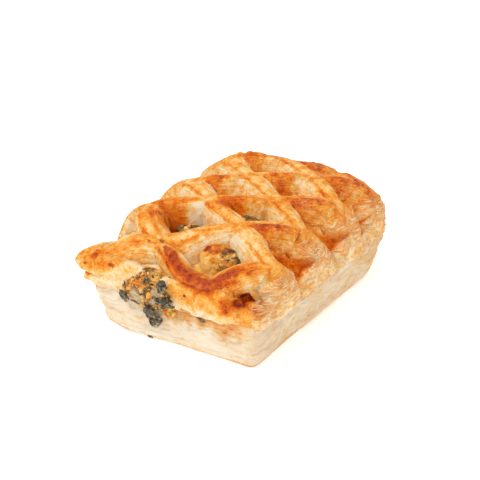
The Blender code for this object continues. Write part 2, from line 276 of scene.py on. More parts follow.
def rimOf(columns, rows):
    rim = [(column, 0) for column in range(columns)] + [(columns, row) for row in range(rows)]
    return rim + [(column, rows) for column in range(columns, 0, -1)] + [(0, row) for row in range(rows, 0, -1)]


# faces on both sides of a thin piece and round its rim
def closeSheets(work, sheets, columns, rows):
    for layer, column, row in itertools.product((0, 1), range(columns), range(rows)):
        corners = [(column, row), (column + 1, row), (column + 1, row + 1), (column, row + 1)]
        work.faces.new([sheets[layer][corner] for corner in (corners if layer else corners[::-1])])
    rim = rimOf(columns, rows)
    for first, second in zip(rim, rim[1:] + rim[:1]):
        work.faces.new((sheets[0][first], sheets[0][second], sheets[1][second], sheets[1][first]))


def addObject(name, data):
    made = bpy.data.objects.new(name, data)
    bpy.context.scene.collection.objects.link(made)
    return made


def addPiece(name, mesh, stands=()):
    piece = addObject(name, mesh)
    mesh.shade_smooth()
    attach(piece, "root")
    if stands:
        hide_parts(*stands)
    return piece


# the baked crust
crust = {
    "stepsOnFace": 19,  # mesh rows on each half of a strip
    "stepsOnFloor": 9,
    "skirt": 2.6 * mm,  # how far the ragged hem hangs past the seam
    "openCells": (((0.5, 0.5), (0.235, 0.235)), ((0.48, 1.60), (0.26, 0.20)), ((1.46, 1.64), (0.26, 0.26))),
    "openCorner": 0.6,
    "openDepth": 7 * mm,
    "slit": ((30.6 * mm, 25.2 * mm), (5.4 * mm, 2.8 * mm), -4.0, 3.0 * mm),  # middle, half size, tilt, depth
    "frontWall": -50 * mm,
    "relief": (  # wave length and height in mm, seed and layers of the swell, the lumps and the grain
        (13, 0.55, 5, 2), (3.6, 0.20, 9, 3), (1.1, 0.11, 13, 2),
    ),
    "leafing": (0.85 * mm, 0.17 * mm),  # thickness and relief of the layers on cut faces
    "shingles": (2.6 * mm, 0.34 * mm),  # the same where layers stand off the caps
    "lobe": ((-43 * mm, -57 * mm, 23 * mm), 8 * mm, 20.6 * mm),  # middle, reach, height of the crease under it
    "burntPath": (
        (0.03, 0.72), (0.05, 0.60), (0.08, 0.48), (0.09, 0.34), (0.09, 0.20),
        (0.11, 0.08), (0.20, 0.02), (0.30, 0.00), (0.42, 0.00),
    ),
    "burntHalf": 2.4 * mm,
    "burntGlow": (5.2 * mm, 0.42),  # reach and amount of the browning round the burnt band
    "panelHalf": 0.38,
    "panels": (  # cell, how far its far face swells in mm, where it starts, browned
        ((0.5, -0.5), 3.4, (-0.06, 0.12), 0.15), ((1.5, 0.5), 3.2, (0.0, 0.14), 0.6),
        ((2.5, 1.5), 3.0, (0.0, 0.14), 0.6), ((3.5, 2.5), 2.6, (0.0, 0.14), 0.7),
        ((0.5, 0.5), 0.4, (0.15, 0.30), 0.0), ((1.5, 1.5), 0.8, (0.10, 0.28), 0.0),
        ((2.5, 2.5), 2.2, (-0.05, 0.20), 0.3), ((3.5, 3.5), 2.0, (-0.05, 0.20), 0.3),
        ((0.5, 2.5), 1.4, (0.0, 0.20), 0.2), ((1.5, 2.5), 1.8, (-0.05, 0.20), 0.3),
        ((-0.5, 1.5), 3.2, (-0.42, -0.15), 0.0), ((2.5, 3.5), 2.0, (-0.05, 0.20), 0.3),
        ((-0.5, 0.5), 1.6, (-0.10, 0.15), 0.0), ((1.5, 3.5), 1.8, (-0.05, 0.20), 0.3),
        ((4.5, 3.5), 2.0, (-0.05, 0.20), 0.5),
    ),
    "glazedCorners": ((31.5, -29), (48.5, -17), (54, -29)),  # in mm along the flat sheet, before each shift
    "glazedShifts": (0.0, 29.0, 54.0),
    "backLift": ((-25 * mm, 38 * mm, 41.5 * mm), 9 * mm, 2.3 * mm),  # the raised layer: middle, reach, height
    "crestLine": (0.15, 0.24),  # browning on top of the strips of each family
    "edgeLines": (  # offset, width and amount along their edges for each family, and how ragged
        ((-0.40, 0.40), (0.15, 0.22), (0.10, 0.20), 1.0),
        ((0.46, -0.42), (0.10, 0.13), (0.38, 0.10), 0.6),
    ),
    "browning": {
        "least": 0.19, "glazed": 0.43, "panel": 0.20, "roundedEnd": 0.22, "frontFace": 0.22, "hollow": 0.06,
        "toRight": 0.05, "toBack": 0.05, "lobe": 0.20, "crease": 0.25, "lobeMottle": 0.26, "farRight": 0.14,
        "frontRight": 0.20, "frontLeft": 0.10, "hem": 0.06, "hemKept": 0.35, "paleHem": 0.26,
        "most": 0.84, "slit": 0.93,
    },
    "burntSpots": (  # lattice place and radius in mm
        (0.02, 0.96, 1.0), (0.02, 0.84, 1.5), (-0.03, 0.78, 1.7), (0.07, 0.80, 1.2),
        (-1.36, 0.92, 1.2), (-1.06, 0.66, 1.4), (-0.17, 0.94, 0.7),
    ),
    "bakedSpots": (  # lattice place, radius in mm, amount, below 0 where it stays pale
        (0.32, 1.60, 7.0, 0.50), (2.48, 2.78, 4.0, 0.42), (1.20, 1.72, 6.0, 0.34), (1.28, 0.84, 4.0, 0.14),
        (2.25, 1.85, 5.5, 0.12), (1.45, 0.75, 6.0, 0.08), (2.55, 1.70, 6.0, 0.08), (3.30, 2.80, 6.0, 0.12),
        (3.53, 3.81, 7.0, 0.14), (1.34, 2.82, 4.0, 0.20), (2.35, 3.80, 5.0, 0.16), (-0.94, 0.68, 2.6, 0.22),
        (-1.15, 0.70, 3.0, 0.22), (-0.96, 1.03, 3.0, 0.16), (-0.36, 0.85, 3.0, 0.16), (-0.12, -0.10, 4.0, 0.16),
        (-0.16, -0.81, 2.6, 0.40), (0.45, -0.97, 3.4, 0.34), (-0.05, -0.62, 3.0, 0.36), (0.25, -0.85, 5.0, 0.14),
        (0.60, 0.86, 5.0, 0.14), (0.66, -0.12, 6.0, 0.16), (1.0, 0.95, 5.0, 0.12), (2.0, 1.95, 6.0, 0.12),
        (-0.9, 2.1, 6.0, 0.30), (-0.3, 3.4, 6.0, 0.30), (1.2, 4.6, 6.0, 0.30), (3.2, 5.2, 6.0, 0.30),
        (0.62, 0.80, 6.0, -0.12), (0.52, -0.30, 7.0, -0.20), (0.26, 0.80, 5.5, -0.26), (0.88, 0.58, 6.0, -0.16),
        (-0.75, 0.30, 6.0, -0.25), (0.66, 1.77, 6.0, -0.20), (2.80, 2.90, 5.0, -0.12),
    ),
    # painted shade deep in the second and third open cells: lattice place, radius in mm, amount
    "deepShadeSpots": ((0.30, 1.58, 5.5, 0.07), (1.27, 1.78, 5.0, 0.10)),
}


def latticeDistance(i, j, place):  # millimetres along the flat sheet
    p, q = crossingPlace(i, j)
    placeP, placeQ = crossingPlace(*place)
    return np.hypot(p - placeP, q - placeQ) / mm


def pathDistance(i, j, path):
    p, q = crossingPlace(i, j)
    nearest = np.full(np.shape(i), 1.0)
    for first, second in zip(path, path[1:]):
        startP, startQ = crossingPlace(*first)
        endP, endQ = crossingPlace(*second)
        runP, runQ = endP - startP, endQ - startQ
        share = np.clip(((p - startP) * runP + (q - startQ) * runQ) / (runP * runP + runQ * runQ), 0, 1)
        nearest = np.minimum(nearest, np.hypot(p - startP - share * runP, q - startQ - share * runQ))
    return nearest


def glazedFloor(p, q):  # inside the glazed corners between the right caps
    inside = np.zeros(np.shape(p))
    corners = np.array(crust["glazedCorners"])
    middle = corners.mean(axis=0)
    for shift in crust["glazedShifts"]:
        nearest = np.full(np.shape(p), 99.0)
        for first, second in zip(corners, np.roll(corners, -1, axis=0)):
            run = (second - first) / np.linalg.norm(second - first)
            away = (p / mm - first[0]) * run[1] - (q / mm - shift - first[1]) * run[0]
            sign = np.sign((middle[0] - first[0]) * run[1] - (middle[1] - first[1]) * run[0])
            nearest = np.minimum(nearest, away * sign)
        inside = np.maximum(inside, ease(nearest, -1.2, 0.8))
    return inside


def crustRows():
    half = pastry["stripHalfWidth"] / stripPeriod
    onFace, onFloor = crust["stepsOnFace"], crust["stepsOnFloor"]
    face = [half * math.sin(math.pi / 2 * step / onFace) for step in range(1, onFace + 1)]
    floor = [half + (0.5 - half) * step / onFloor for step in range(1, onFloor + 1)]
    offsets = [-offset for offset in reversed((face + floor)[:-1])] + [0.0] + face + floor
    return np.array([line + offset for line in range(-4, 10) for offset in offsets])


def makeCrustSheet():  # the flat lattice mesh, trimmed past the seam
    rows = crustRows()
    i, j = np.meshgrid(rows, rows, indexing="ij")
    p, q = crossingPlace(i, j)
    margin = crust["skirt"] + 1.5 * mm
    keep = (np.abs(p) < flatHalf[0] + margin) & (np.abs(q) < flatHalf[1] + margin)
    number = np.full(i.shape, -1)
    number[keep] = np.arange(keep.sum())
    corners = joined(number[:-1, :-1], number[1:, :-1], number[1:, 1:], number[:-1, 1:]).reshape(-1, 4)
    corners = corners[(corners >= 0).all(axis=1)]
    mesh = bpy.data.meshes.new("latticeCrust")
    flat = joined(p[keep], q[keep], 0.0)
    mesh.from_pydata(flat.tolist(), [], corners.tolist())
    work = bmesh.new()
    work.from_mesh(mesh)
    for axis in (0, 1):
        for side in (-1, 1):
            normal = Vector((0.0, 0.0, 0.0))
            normal[axis] = side
            bmesh.ops.bisect_plane(
                work, geom=work.verts[:] + work.edges[:] + work.faces[:], dist=1e-7,
                plane_co=normal * (flatHalf[axis] + crust["skirt"]), plane_no=normal, clear_outer=True,
            )
    work.to_mesh(mesh)
    work.free()
    return mesh


def shapeCrust():
    mesh = makeCrustSheet()
    flat = placesOf(mesh)
    p, q = flat[:, 0], flat[:, 1]
    across = (p - pastry["crossingOrigin"][0]) / pastry["crossingStep"][0]
    along = (q - pastry["crossingOrigin"][1]) / pastry["crossingStep"][1]
    i, j = (along + across) / 2, (along - across) / 2
    wide = softNoise(joined(p / (17 * mm), q / (17 * mm), 0.0), 3)
    rise, rises, outside = stripShape(i, j, 0.07 * wide)
    glazed = glazedFloor(p, q)
    rise = rise * (1 - 0.9 * glazed)
    places = crustSurface(i, j, rise)

    # the hem: past the seam the crust turns in and down onto the base's wall
    past = np.maximum(np.abs(p) - flatHalf[0], np.abs(q) - flatHalf[1])
    hem = np.clip(past / crust["skirt"], 0.0, 1.0)
    flush = ease(-places[:, 1] / mm, 54, 57) * ease(places[:, 0] / mm, -6, 4)
    wall = roundedWall(places[:, 0], places[:, 1], 0.35 * mm - 0.3 * mm * flush, 7 * mm)
    ragged = softNoise(joined(places[:, 0] / (4 * mm), places[:, 1] / (4 * mm), 0.0), 21)
    ragged = ragged + 0.6 * softNoise(joined(places[:, 0] / (1.4 * mm), places[:, 1] / (1.4 * mm), 0.0), 22)
    turned = ease(hem, 0.0, 1.0)
    hemmed = hem > 0
    for axis in (0, 1):
        places[hemmed, axis] += ((wall[axis] - places[:, axis]) * turned * 0.95)[hemmed]
    drop = (1.5 + 0.9 * ragged * (1 - 0.5 * flush)) * mm * hem ** 0.8
    places[hemmed, 2] = (pastry["seamHeight"] - drop)[hemmed]
    movePoints(mesh, places)
    normals = normalsOf(mesh)
    spot = places / mm
    x, y, z = spot.T

    # which strip's face a place belongs to, and its place along and down that face
    ofFirst = rises[0] > rises[1]
    runAlong = np.where(ofFirst, j, i) * slantLength
    line = np.where(ofFirst, i, j)
    signed = line - np.round(line)
    down = (1 - rise) * (pastry["crestHeight"] - pastry["hollowHeight"])
    onEnds = ease(outside / mm, 0.0, 5.0)
    onInner = 1 - onEnds
    capDown = pastry["crestHeight"] - places[:, 2]
    around = places[:, 1] - 0.4 * places[:, 0]
    run = runAlong * onInner + around * onEnds
    crumpled = layeredNoise(places / (7 * mm), 37, 3) * 3.2 * mm
    depth = down * onInner + (capDown * 0.8 + crumpled) * onEnds
    cutFace = ease(rise, 0.04, 0.22) * (1 - ease(rise, 0.86, 0.97))
    sideCap = ease(np.abs(p) / mm, 38, 46) * ease(z, 17, 20)
    layersMask = np.clip(np.maximum(cutFace * 0.85, sideCap * 0.9), 0, 1) * (1 - 0.8 * glazed)
    frontFace = ease(-y, 54, 57) * (1 - ease(z, 30, 34))
    layersMask = layersMask * (1 - 0.75 * frontFace * (1 - ease(x, 15, 20)))

    # relief: slow swell, lumps, grain and the edges of the layers
    move = 0.0
    for wave, height, seed, layers in crust["relief"]:
        move = move + layeredNoise(spot / wave, seed, layers) * height * mm
    warp = layeredNoise(joined(run / (7 * mm), depth / (4 * mm), 0.0), 31, 2) * 1.2
    leafing = joined(run / (11 * mm), depth / crust["leafing"][0] + warp, np.round(line) * 3.1)
    leafing = layeredNoise(leafing, 33, 2, 0.6) * crust["leafing"][1] * layersMask
    shingle = depth / crust["shingles"][0] + warp * 0.55 + 0.8 * layeredNoise(spot / 4.5, 35, 3)
    shingle = (1 - (shingle - np.floor(shingle))) ** 1.6 - 0.4
    leafing = leafing + shingle * crust["shingles"][1] * np.maximum(sideCap, 0.35 * cutFace)
    puffed = np.zeros(len(places))
    blister = np.zeros(len(places))
    rough = 1 + 0.25 * layeredNoise(spot / 1.6, 41, 2)
    for cell, swollen, start, browned in crust["panels"]:
        sideways = i - cell[0] - (0.08 if browned > 0.4 else 0.0)
        onPanel = bell(sideways / crust["panelHalf"], 4)
        onPanel = onPanel * ease(j - cell[1], *start) * (1 - ease(j - cell[1], crust["panelHalf"], 0.49))
        puffed = np.maximum(puffed, onPanel * swollen * mm * rough * (1 - glazed))
        blister = np.maximum(blister, onPanel * browned)
    liftMiddle, liftReach, liftHeight = crust["backLift"]
    lifted = bell(awayFrom(places, liftMiddle) / liftReach, 4)
    lifted = lifted * liftHeight * (0.7 + 0.4 * layeredNoise(spot / 2.5, 43, 2))
    move = move + leafing + puffed + lifted
    places = places + normals * (move * (1 - 0.6 * hem))[:, None]

    # the lobe at the near corner is a folded roll with a crease under it
    lobeMiddle, lobeReach, creaseHeight = crust["lobe"]
    onLobe = bell(awayFrom(places, lobeMiddle) / lobeReach)
    creaseLine = (places[:, 2] - creaseHeight) / mm + 0.5 * layeredNoise(spot / 4.0, 45, 2)
    crease = onLobe * bell(creaseLine / 0.8)
    places = places - normals * ((crease * 2.2 - onLobe * 0.5) * mm)[:, None]

    # open cells run down into the filling
    inOpening = np.zeros(len(places))
    power = 2 / crust["openCorner"]
    for middle, half in crust["openCells"]:
        size = np.abs((i - middle[0]) / half[0]) ** power + np.abs((j - middle[1]) / half[1]) ** power
        inOpening = np.maximum(inOpening, 1 - ease(size ** (1 / power), 0.78, 1.02))
    places[:, 2] -= inOpening * crust["openDepth"]

    # the torn slit on the front
    (slitX, slitZ), (slitWide, slitTall), tilt, slitDepth = crust["slit"]
    lean = math.radians(tilt)
    offX, offZ = places[:, 0] - slitX, places[:, 2] - slitZ
    turnedX = offX * math.cos(lean) - offZ * math.sin(lean)
    turnedZ = offX * math.sin(lean) + offZ * math.cos(lean)
    inSlit = 1 - ease(np.hypot(turnedX / slitWide, turnedZ / slitTall), 0.45, 1.05)
    inSlit = inSlit * (places[:, 1] < crust["frontWall"])
    places[:, 1] += inSlit * slitDepth
    movePoints(mesh, places)

    # browning: a thin glazed line along the crests, pale cut faces, outer floors dark again, with painted shade
    # in the open cells and under the lobe
    brown = crust["browning"]
    ragging = 0.13 * layeredNoise(spot / 2.6, 47, 3)
    share = signed * stripPeriod / pastry["stripHalfWidth"]
    streaky = 0.85 + 0.35 * layeredNoise(joined(run / (5 * mm), share * 5, np.round(line) * 7.7), 71, 2)
    lines = np.where(ofFirst, *crust["crestLine"]) * (1 - ease(np.abs(share + ragging), 0.34, 0.50))
    for offset, width, amount, uneven in crust["edgeLines"]:
        fromEdge = (share + np.where(ofFirst, *offset) + uneven * ragging) / np.where(ofFirst, *width)
        lines = lines + np.where(ofFirst, *amount) * bell(fromEdge)
    outerFloor = (1 - ease(rise, 0.16, 0.30)) * ease(np.abs(p) / mm, 26, 31)
    outerFloor = outerFloor * (1 - ease(outside / mm, 5, 8)) * ease(z, 24, 27)
    outerFloor = np.maximum(0.6 * outerFloor * (1 - np.clip(puffed / (1.2 * mm), 0, 1)), glazed)
    # the left part of each cell's far wall is browner: partly glaze that ran there, partly painted shade from
    # the strip beside it
    leftFarWallBrownAndShade = cutFace * (~ofFirst & (signed < 0)) * (1 - ease(i - np.floor(i), 0.25, 0.65))
    bake = brown["least"] + lines * streaky * onInner
    bake = bake + brown["glazed"] * outerFloor + brown["panel"] * blister
    bake = bake + brown["roundedEnd"] * ease(rise, 0.5, 1.0) * onEnds * ease(z, 22, 36)
    inHollow = 1 - ease(rise, 0.02, 0.30)
    bake = bake + (brown["frontFace"] * leftFarWallBrownAndShade + brown["hollow"] * inHollow) * onInner
    bake = bake + brown["toRight"] * ease(x, 5, 40) + brown["toBack"] * ease(y, 0, 60)
    # the lobe browns on top; the brown along the crease under it is painted shade
    bake = bake + brown["lobe"] * onLobe * ease(z, 20, 24) + brown["crease"] * crease
    bake = bake + brown["lobeMottle"] * onLobe * layeredNoise(spot / 2.2, 49, 3)
    bake = bake + brown["farRight"] * ease(y, 25, 58) * ease(x, -5, 25)
    frontRight = brown["frontRight"] * ease(x, -4, 8) * ease(z, 15, 22)
    frontLeft = brown["frontLeft"] * ease(-x, 27, 34) * ease(z, 20, 24)
    bake = bake + ease(-y, 53, 57) * (frontRight + frontLeft)
    low = 1 - ease(z, 17.5, 26)
    bake = bake * (1 - brown["hemKept"] * low) + brown["hem"] * low
    paleHem = flush * (1 - 0.8 * ease(x, 16, 28))
    paleHem = paleHem * (1 - ease(z + 2.5 * layeredNoise(spot / np.array((3, 9, 9)), 57, 2), 15.5, 21))
    bake = bake - brown["paleHem"] * paleHem
    for *place, radius, amount in crust["bakedSpots"]:
        bake = bake + amount * bell(latticeDistance(i, j, place) / radius)
    bake = bake + 0.07 * layeredNoise(spot / 6.0, 51, 3) + 0.05 * layeredNoise(spot / 2.0, 55, 2)
    bandDistance = pathDistance(i, j, crust["burntPath"])
    bake = bake + crust["burntGlow"][1] * bell(bandDistance / crust["burntGlow"][0])
    bake = np.minimum(bake, brown["most"])
    # painted shade darkens the second and third open cells past the browning's cap
    for *place, radius, amount in crust["deepShadeSpots"]:
        bake = bake + amount * bell(latticeDistance(i, j, place) / radius, 4)
    bake = np.clip(np.maximum(bake, inSlit * brown["slit"]), 0, 1.2)

    burnt = 1 - ease(bandDistance / crust["burntHalf"] + 0.45 * layeredNoise(spot / 1.8, 61, 2), 0.30, 1.25)
    edge = 0.4 * layeredNoise(spot, 65, 2)
    for *place, radius in crust["burntSpots"]:
        burnt = np.maximum(burnt, 1 - ease(latticeDistance(i, j, place) / radius + edge, 0.6, 1.1))

    rosy = sideCap * ease(places[:, 0] / mm, 25, 38) * (1 - glazed) * ease(places[:, 2] / mm, 20, 27)
    keepValues(mesh, bake=bake, burnt=burnt, layersShown=layersMask, rosy=rosy, blister=blister)
    keepStrand(mesh, run / mm, depth / mm, np.round(line) * 5.0)
    return addPiece("latticeCrust", mesh, ("lattice_lid",))


print("crust: lattice, layers and browning")
latticeCrust = shapeCrust()


# the side wall and underside of the lower sheet
sideWall = {
    "cornerRadius": ((1, -1, 5 * mm), (1, 1, 9 * mm), (-1, 1, 9 * mm), (-1, -1, 7 * mm)),
    "stepsOnCorner": 12,
    "columnsPerSide": 170,
    "rows": 84,
    "inset": (  # heights, and how far in the wall stands there, in mm
        (0.0, 0.5, 1.4, 2.6, 6, 11, 15.5, 18), (1.5, 0.7, 0.15, 0.35, 0.8, 0.2, 0.6, 0.5),
    ),
    "layering": (1.7, 0.55 * mm),  # thickness in mm and relief
    "terraces": (2.3, 0.55 * mm),
    "grain": (1.5, 0.06 * mm),
    "waist": (-30, 12, -1.5),  # on the long right side: middle, reach, how far out, in mm
    "swelling": (26, 18, 0.7),
    "belly": (-14, 15, 1.7),  # the same on the front
    "tuckedFeet": (((-40.5, -60), 16, 4.6), ((40.5, 60), 26, 6.5)),  # corner, reach, how far in, in mm
    "tornShelves": ((4.2, 0.50 * mm), (9.5, 0.35 * mm), (13.5, 0.35 * mm)),  # height in mm and reach
    "golding": {
        "least": 0.27, "broad": 0.15, "fine": 0.10, "toRight": 0.08, "toBack": 0.18, "toTop": 0.10,
        "foot": 0.46, "underSlit": 0.54, "underside": 0.25,
    },
}


def wallOutline(count):  # places and outward directions round the base
    points, outward = [], []
    corners, steps = sideWall["cornerRadius"], sideWall["stepsOnCorner"]

    def onCorner(corner, angle):
        sideX, sideY, radius = corners[corner % 4]
        centreX = sideX * (pastry["baseWidth"] / 2 - radius)
        centreY = sideY * (pastry["baseLength"] / 2 - radius)
        return centreX + radius * math.cos(angle), centreY + radius * math.sin(angle)

    for turn in range(4):
        for step in range(steps):
            angle = math.radians(-90 + 90 * turn + 90 * step / steps)
            points.append(onCorner(turn, angle))
            outward.append((math.cos(angle), math.sin(angle)))
        angle = math.radians(90 * turn)
        start, end = onCorner(turn, angle), onCorner(turn + 1, angle)
        for step in range(count):
            share = step / count
            points.append((start[0] + (end[0] - start[0]) * share, start[1] + (end[1] - start[1]) * share))
            outward.append((math.cos(angle), math.sin(angle)))
    return np.array(points), np.array(outward)


def ringFaces(lower, upper):
    return list(zip(lower, lower[1:] + lower[:1], upper[1:] + upper[:1], upper))


def shapeSideWall():
    outline, outward = wallOutline(sideWall["columnsPerSide"])
    columns = len(outline)
    rows = sideWall["rows"]
    top = pastry["seamHeight"] - 0.3 * mm
    heights = np.concatenate(([0.0], np.linspace(0.12, 1.0, rows - 1) * top))
    inset = np.interp(heights / mm, *sideWall["inset"]) * mm
    places = np.zeros((rows, columns, 3))
    places[..., :2] = outline[None] - outward[None] * inset[:, None, None]
    places[..., 2] = heights[:, None]
    spot = places / mm
    x, y, z = np.moveaxis(spot, -1, 0)
    thickness, relief = sideWall["layering"]
    wave = layeredNoise(joined(x / 16, y / 16, z / 14), 101, 2)
    warp = layeredNoise(joined(x / 9, y / 9, z / 6), 105, 3) * 1.4
    layer = z / thickness + warp
    ridges = softNoise(joined(x / 14, y / 14, layer), 109)
    ridges = ridges + 0.5 * softNoise(joined(x / 7, y / 7, layer * 2.2), 113)
    grain = layeredNoise(spot / sideWall["grain"][0], 117, 2)
    move = wave * 0.9 * mm + ridges * relief + grain * sideWall["grain"][1]
    for shelf, reach in sideWall["tornShelves"]:  # layers that have split and curl out
        edge = (z - shelf - 1.3 * softNoise(joined(x / 12, y / 12, shelf), 121)) / 0.8
        curled = np.exp(-np.clip(edge, 0, 9) * 1.2) * (edge > 0)
        move = move + curled * ease(wave + ridges * 0.2, -0.3, 0.4) * reach
    terrace = z / sideWall["terraces"][0] + 0.55 * warp + 0.25 * ridges
    terrace = (1 - (terrace - np.floor(terrace))) ** 2.2 - 0.3
    torn = ease(layeredNoise(joined(x / 8, y / 8, z / 5), 125, 2), -0.35, 0.25)
    move = (move + terrace * torn * sideWall["terraces"][1]) * ease(z, 0.2, 2.5)

    # the long right side is a little waisted, and the front bulges below the spill
    bent = 0.5 * ease(z, 11, 16) * ease(x, -6, 4) * (outward[None, :, 1] < -0.7)
    for name, along, where in (
        ("waist", y, outward[None, :, 0] > 0.7),
        ("swelling", y, outward[None, :, 0] > 0.7),
        ("belly", x, (outward[None, :, 1] < -0.7) * (1 - ease(z, 9, 16))),
    ):
        middle, reach, amount = sideWall[name]
        bent = bent + amount * bell((along - middle) / reach) * where
    move = move + bent * mm * ease(z, -0.5, 1.0)
    for (cornerX, cornerY), reach, depth in sideWall["tuckedFeet"]:
        fromCorner = np.maximum(np.abs(x - cornerX), np.abs(y - cornerY)) / reach
        move = move - (1 - np.clip(fromCorner, 0, 1)) ** 1.3 * (1 - ease(z, 0, 17)) * depth * mm
    places[..., :2] += outward[None] * move[..., None]

    vertices = places.reshape(-1, 3).tolist()
    faces = []
    rings = [list(range(row * columns, (row + 1) * columns)) for row in range(rows)]
    for lower, upper in zip(rings, rings[1:]):
        faces.extend(ringFaces(lower, upper))
    for ring, level in ((rings[0][::-1], 0.0), (rings[-1], top)):  # the flat underside and the hidden top
        outer, edge = ring, [vertices[index] for index in ring]
        for share in (0.985, 0.9, 0.5):
            inner = list(range(len(vertices), len(vertices) + columns))
            vertices.extend([[place[0] * share, place[1] * share, level] for place in edge])
            faces.extend(ringFaces(outer, inner))
            outer = inner
        vertices.append([0.0, 0.0, level])
        faces.extend((first, second, len(vertices) - 1) for first, second in zip(outer, outer[1:] + outer[:1]))
    mesh = bpy.data.meshes.new("sideDough")
    mesh.from_pydata(vertices, [], faces)
    mesh.update()

    gilt = sideWall["golding"]
    spot = placesOf(mesh) / mm
    x, y, z = spot.T
    gold = gilt["least"] + gilt["broad"] * layeredNoise(spot / np.array((9, 9, 4)), 131, 3)
    gold = gold + gilt["fine"] * layeredNoise(spot / np.array((3, 3, 1.3)), 133, 2)
    gold = gold + gilt["toRight"] * ease(x, 28, 42) + gilt["toBack"] * ease(y, 0, 60)
    gold = gold + gilt["toTop"] * ease(z, 13, 18)
    footLine = bell((z - 0.5) / 0.85) * ease(softNoise(spot / np.array((11, 11, 3)), 135), -0.7, 0.3)
    tongues = layeredNoise(joined(x / 3, 0.0, z / 12), 137, 2)
    underSlit = ease(x, -6, 4) * (1 - ease(x, 30, 37)) * ease(z + 3.5 * tongues, 8, 17) * (y < -50)
    gold = gold + gilt["foot"] * footLine + gilt["underSlit"] * underSlit + gilt["underside"] * (z < 0.05)
    # painted shade: the right face by the near corner is blended toward a greyish beige, where it turns away
    # from the key light
    keepValues(mesh, gold=np.clip(gold, 0, 1), greyed=ease(x, 37.5, 39.5) * (1 - ease(y, -52, -38)))
    keepStrand(mesh, (x + y) * 0.9, z + 0.8 * layeredNoise(spot / 9, 141, 2), x * 0.2)
    return addPiece("sideDough", mesh, ("pastry_base",))


print("side wall: layers of dough")
sideDough = shapeSideWall()


# the filling that runs through the pastry, with its lumps in the open cells and over the front
stuffing = {
    "lumps": {  # middle and half size in mm
        "window": ((9.5, -37.5, 30.0), (9.5, 7.5, 7.0)),
        "spill": ((-10.5, -56.5, 20.3), (14.5, 6.5, 8.7)),
        "secondCell": ((-12.0, -23.2, 31.0), (8.4, 3.8, 4.6)),
        "thirdCell": ((6.5, -9.6, 33.6), (8.8, 4.6, 5.0)),
        "windowRight": ((16.5, -38.5, 28.8), (6.0, 6.5, 6.0)),
        "goldenCrumb": ((0.2, -60.3, 15.4), (2.9, 2.0, 3.2)),
    },
    "lumpReach": 1.3,
    "grid": (28, 40),
    "gap": 0.3 * mm,
    "swell": 0.04,
    "swellWaves": (5.1, 4.3, 4.7),
    "voxel": 0.65 * mm,
    "curd": (2.6, 0.85 * mm),  # size in mm and relief
    "crumb": (1.1, 0.30 * mm),
    "crackDepth": 0.30 * mm,
    "goldenReach": 3.6 * mm,
    "brownSpots": (  # place and radius in mm, and amount
        ((4.5, -39.5, 36.2), 2.1, 1.2), ((14.0, -36.5, 36.2), 1.6, 1.2), ((10.2, -43.5, 33.0), 1.9, 0.6),
        ((8.5, -38.5, 37.5), 4.0, 0.5), ((-21.5, -60.5, 21.5), 2.8, 0.9), ((-13.0, -60.5, 26.0), 4.0, 0.35),
        ((0.2, -62.0, 15.4), 3.0, 0.30),
    ),
    "greySpots": (((-15.0, -62.5, 18.4), 4.3), ((-4.6, -62.2, 23.5), 2.6), ((-6.0, -62.6, 18.4), 2.2)),
}
for lump, sizes in stuffing["lumps"].items():
    stuffing["lumps"][lump] = [[part * mm for part in size] for size in sizes]


def lumpSwell(direction, middle):
    phases = [direction[axis] * stuffing["swellWaves"][axis] + middle[axis] / mm for axis in range(3)]
    return 1.0 + stuffing["swell"] * sum(math.sin(phase) for phase in phases)


def nearLump(places, name):
    middle, half = stuffing["lumps"][name]
    return bell(awayFrom(places, middle, np.array(half) * stuffing["lumpReach"]), 4)


def makeFilling():  # one body: the slab between the domes and every lump on it
    work = bmesh.new()
    columns, rows = stuffing["grid"]
    above = pastry["fillingHeight"] - pastry["seamHeight"]
    below = pastry["seamHeight"] - pastry["baseFloor"] - stuffing["gap"]
    p, q = np.meshgrid(np.linspace(-1, 1, columns + 1), np.linspace(-1, 1, rows + 1), indexing="ij")
    p, q = p * flatHalf[0], q * flatHalf[1]
    layers = []
    for height in (above, -below):
        grid = domePoint(p, q, pastry["fillingReach"], height)
        layer = {}
        for column, row in itertools.product(range(columns + 1), range(rows + 1)):
            shared = layers and (column in (0, columns) or row in (0, rows))
            layer[column, row] = layers[0][column, row] if shared else work.verts.new(grid[column, row])
        layers.append(layer)
        for column, row in itertools.product(range(columns), range(rows)):
            corners = [(column, row), (column + 1, row), (column + 1, row + 1), (column, row + 1)]
            work.faces.new([layer[corner] for corner in corners])
    for middle, half in stuffing["lumps"].values():
        made = bmesh.ops.create_icosphere(work, subdivisions=4, radius=1.0)
        for vertex in made["verts"]:
            direction = vertex.co.normalized()
            swell = lumpSwell(direction, middle)
            vertex.co = [middle[axis] + direction[axis] * half[axis] * swell for axis in range(3)]
    bmesh.ops.recalc_face_normals(work, faces=work.faces)
    slab = meshFrom(work, "spinachFilling")
    piece = addPiece("spinachFilling", slab, ("filling",))
    remesh = piece.modifiers.new("oneBody", "REMESH")
    remesh.mode = "VOXEL"
    remesh.voxel_size = stuffing["voxel"]
    bpy.context.view_layer.update()
    joinedMesh = bpy.data.meshes.new_from_object(piece.evaluated_get(bpy.context.evaluated_depsgraph_get()))
    piece.modifiers.remove(remesh)
    piece.data = joinedMesh
    joinedMesh.shade_smooth()
    return piece


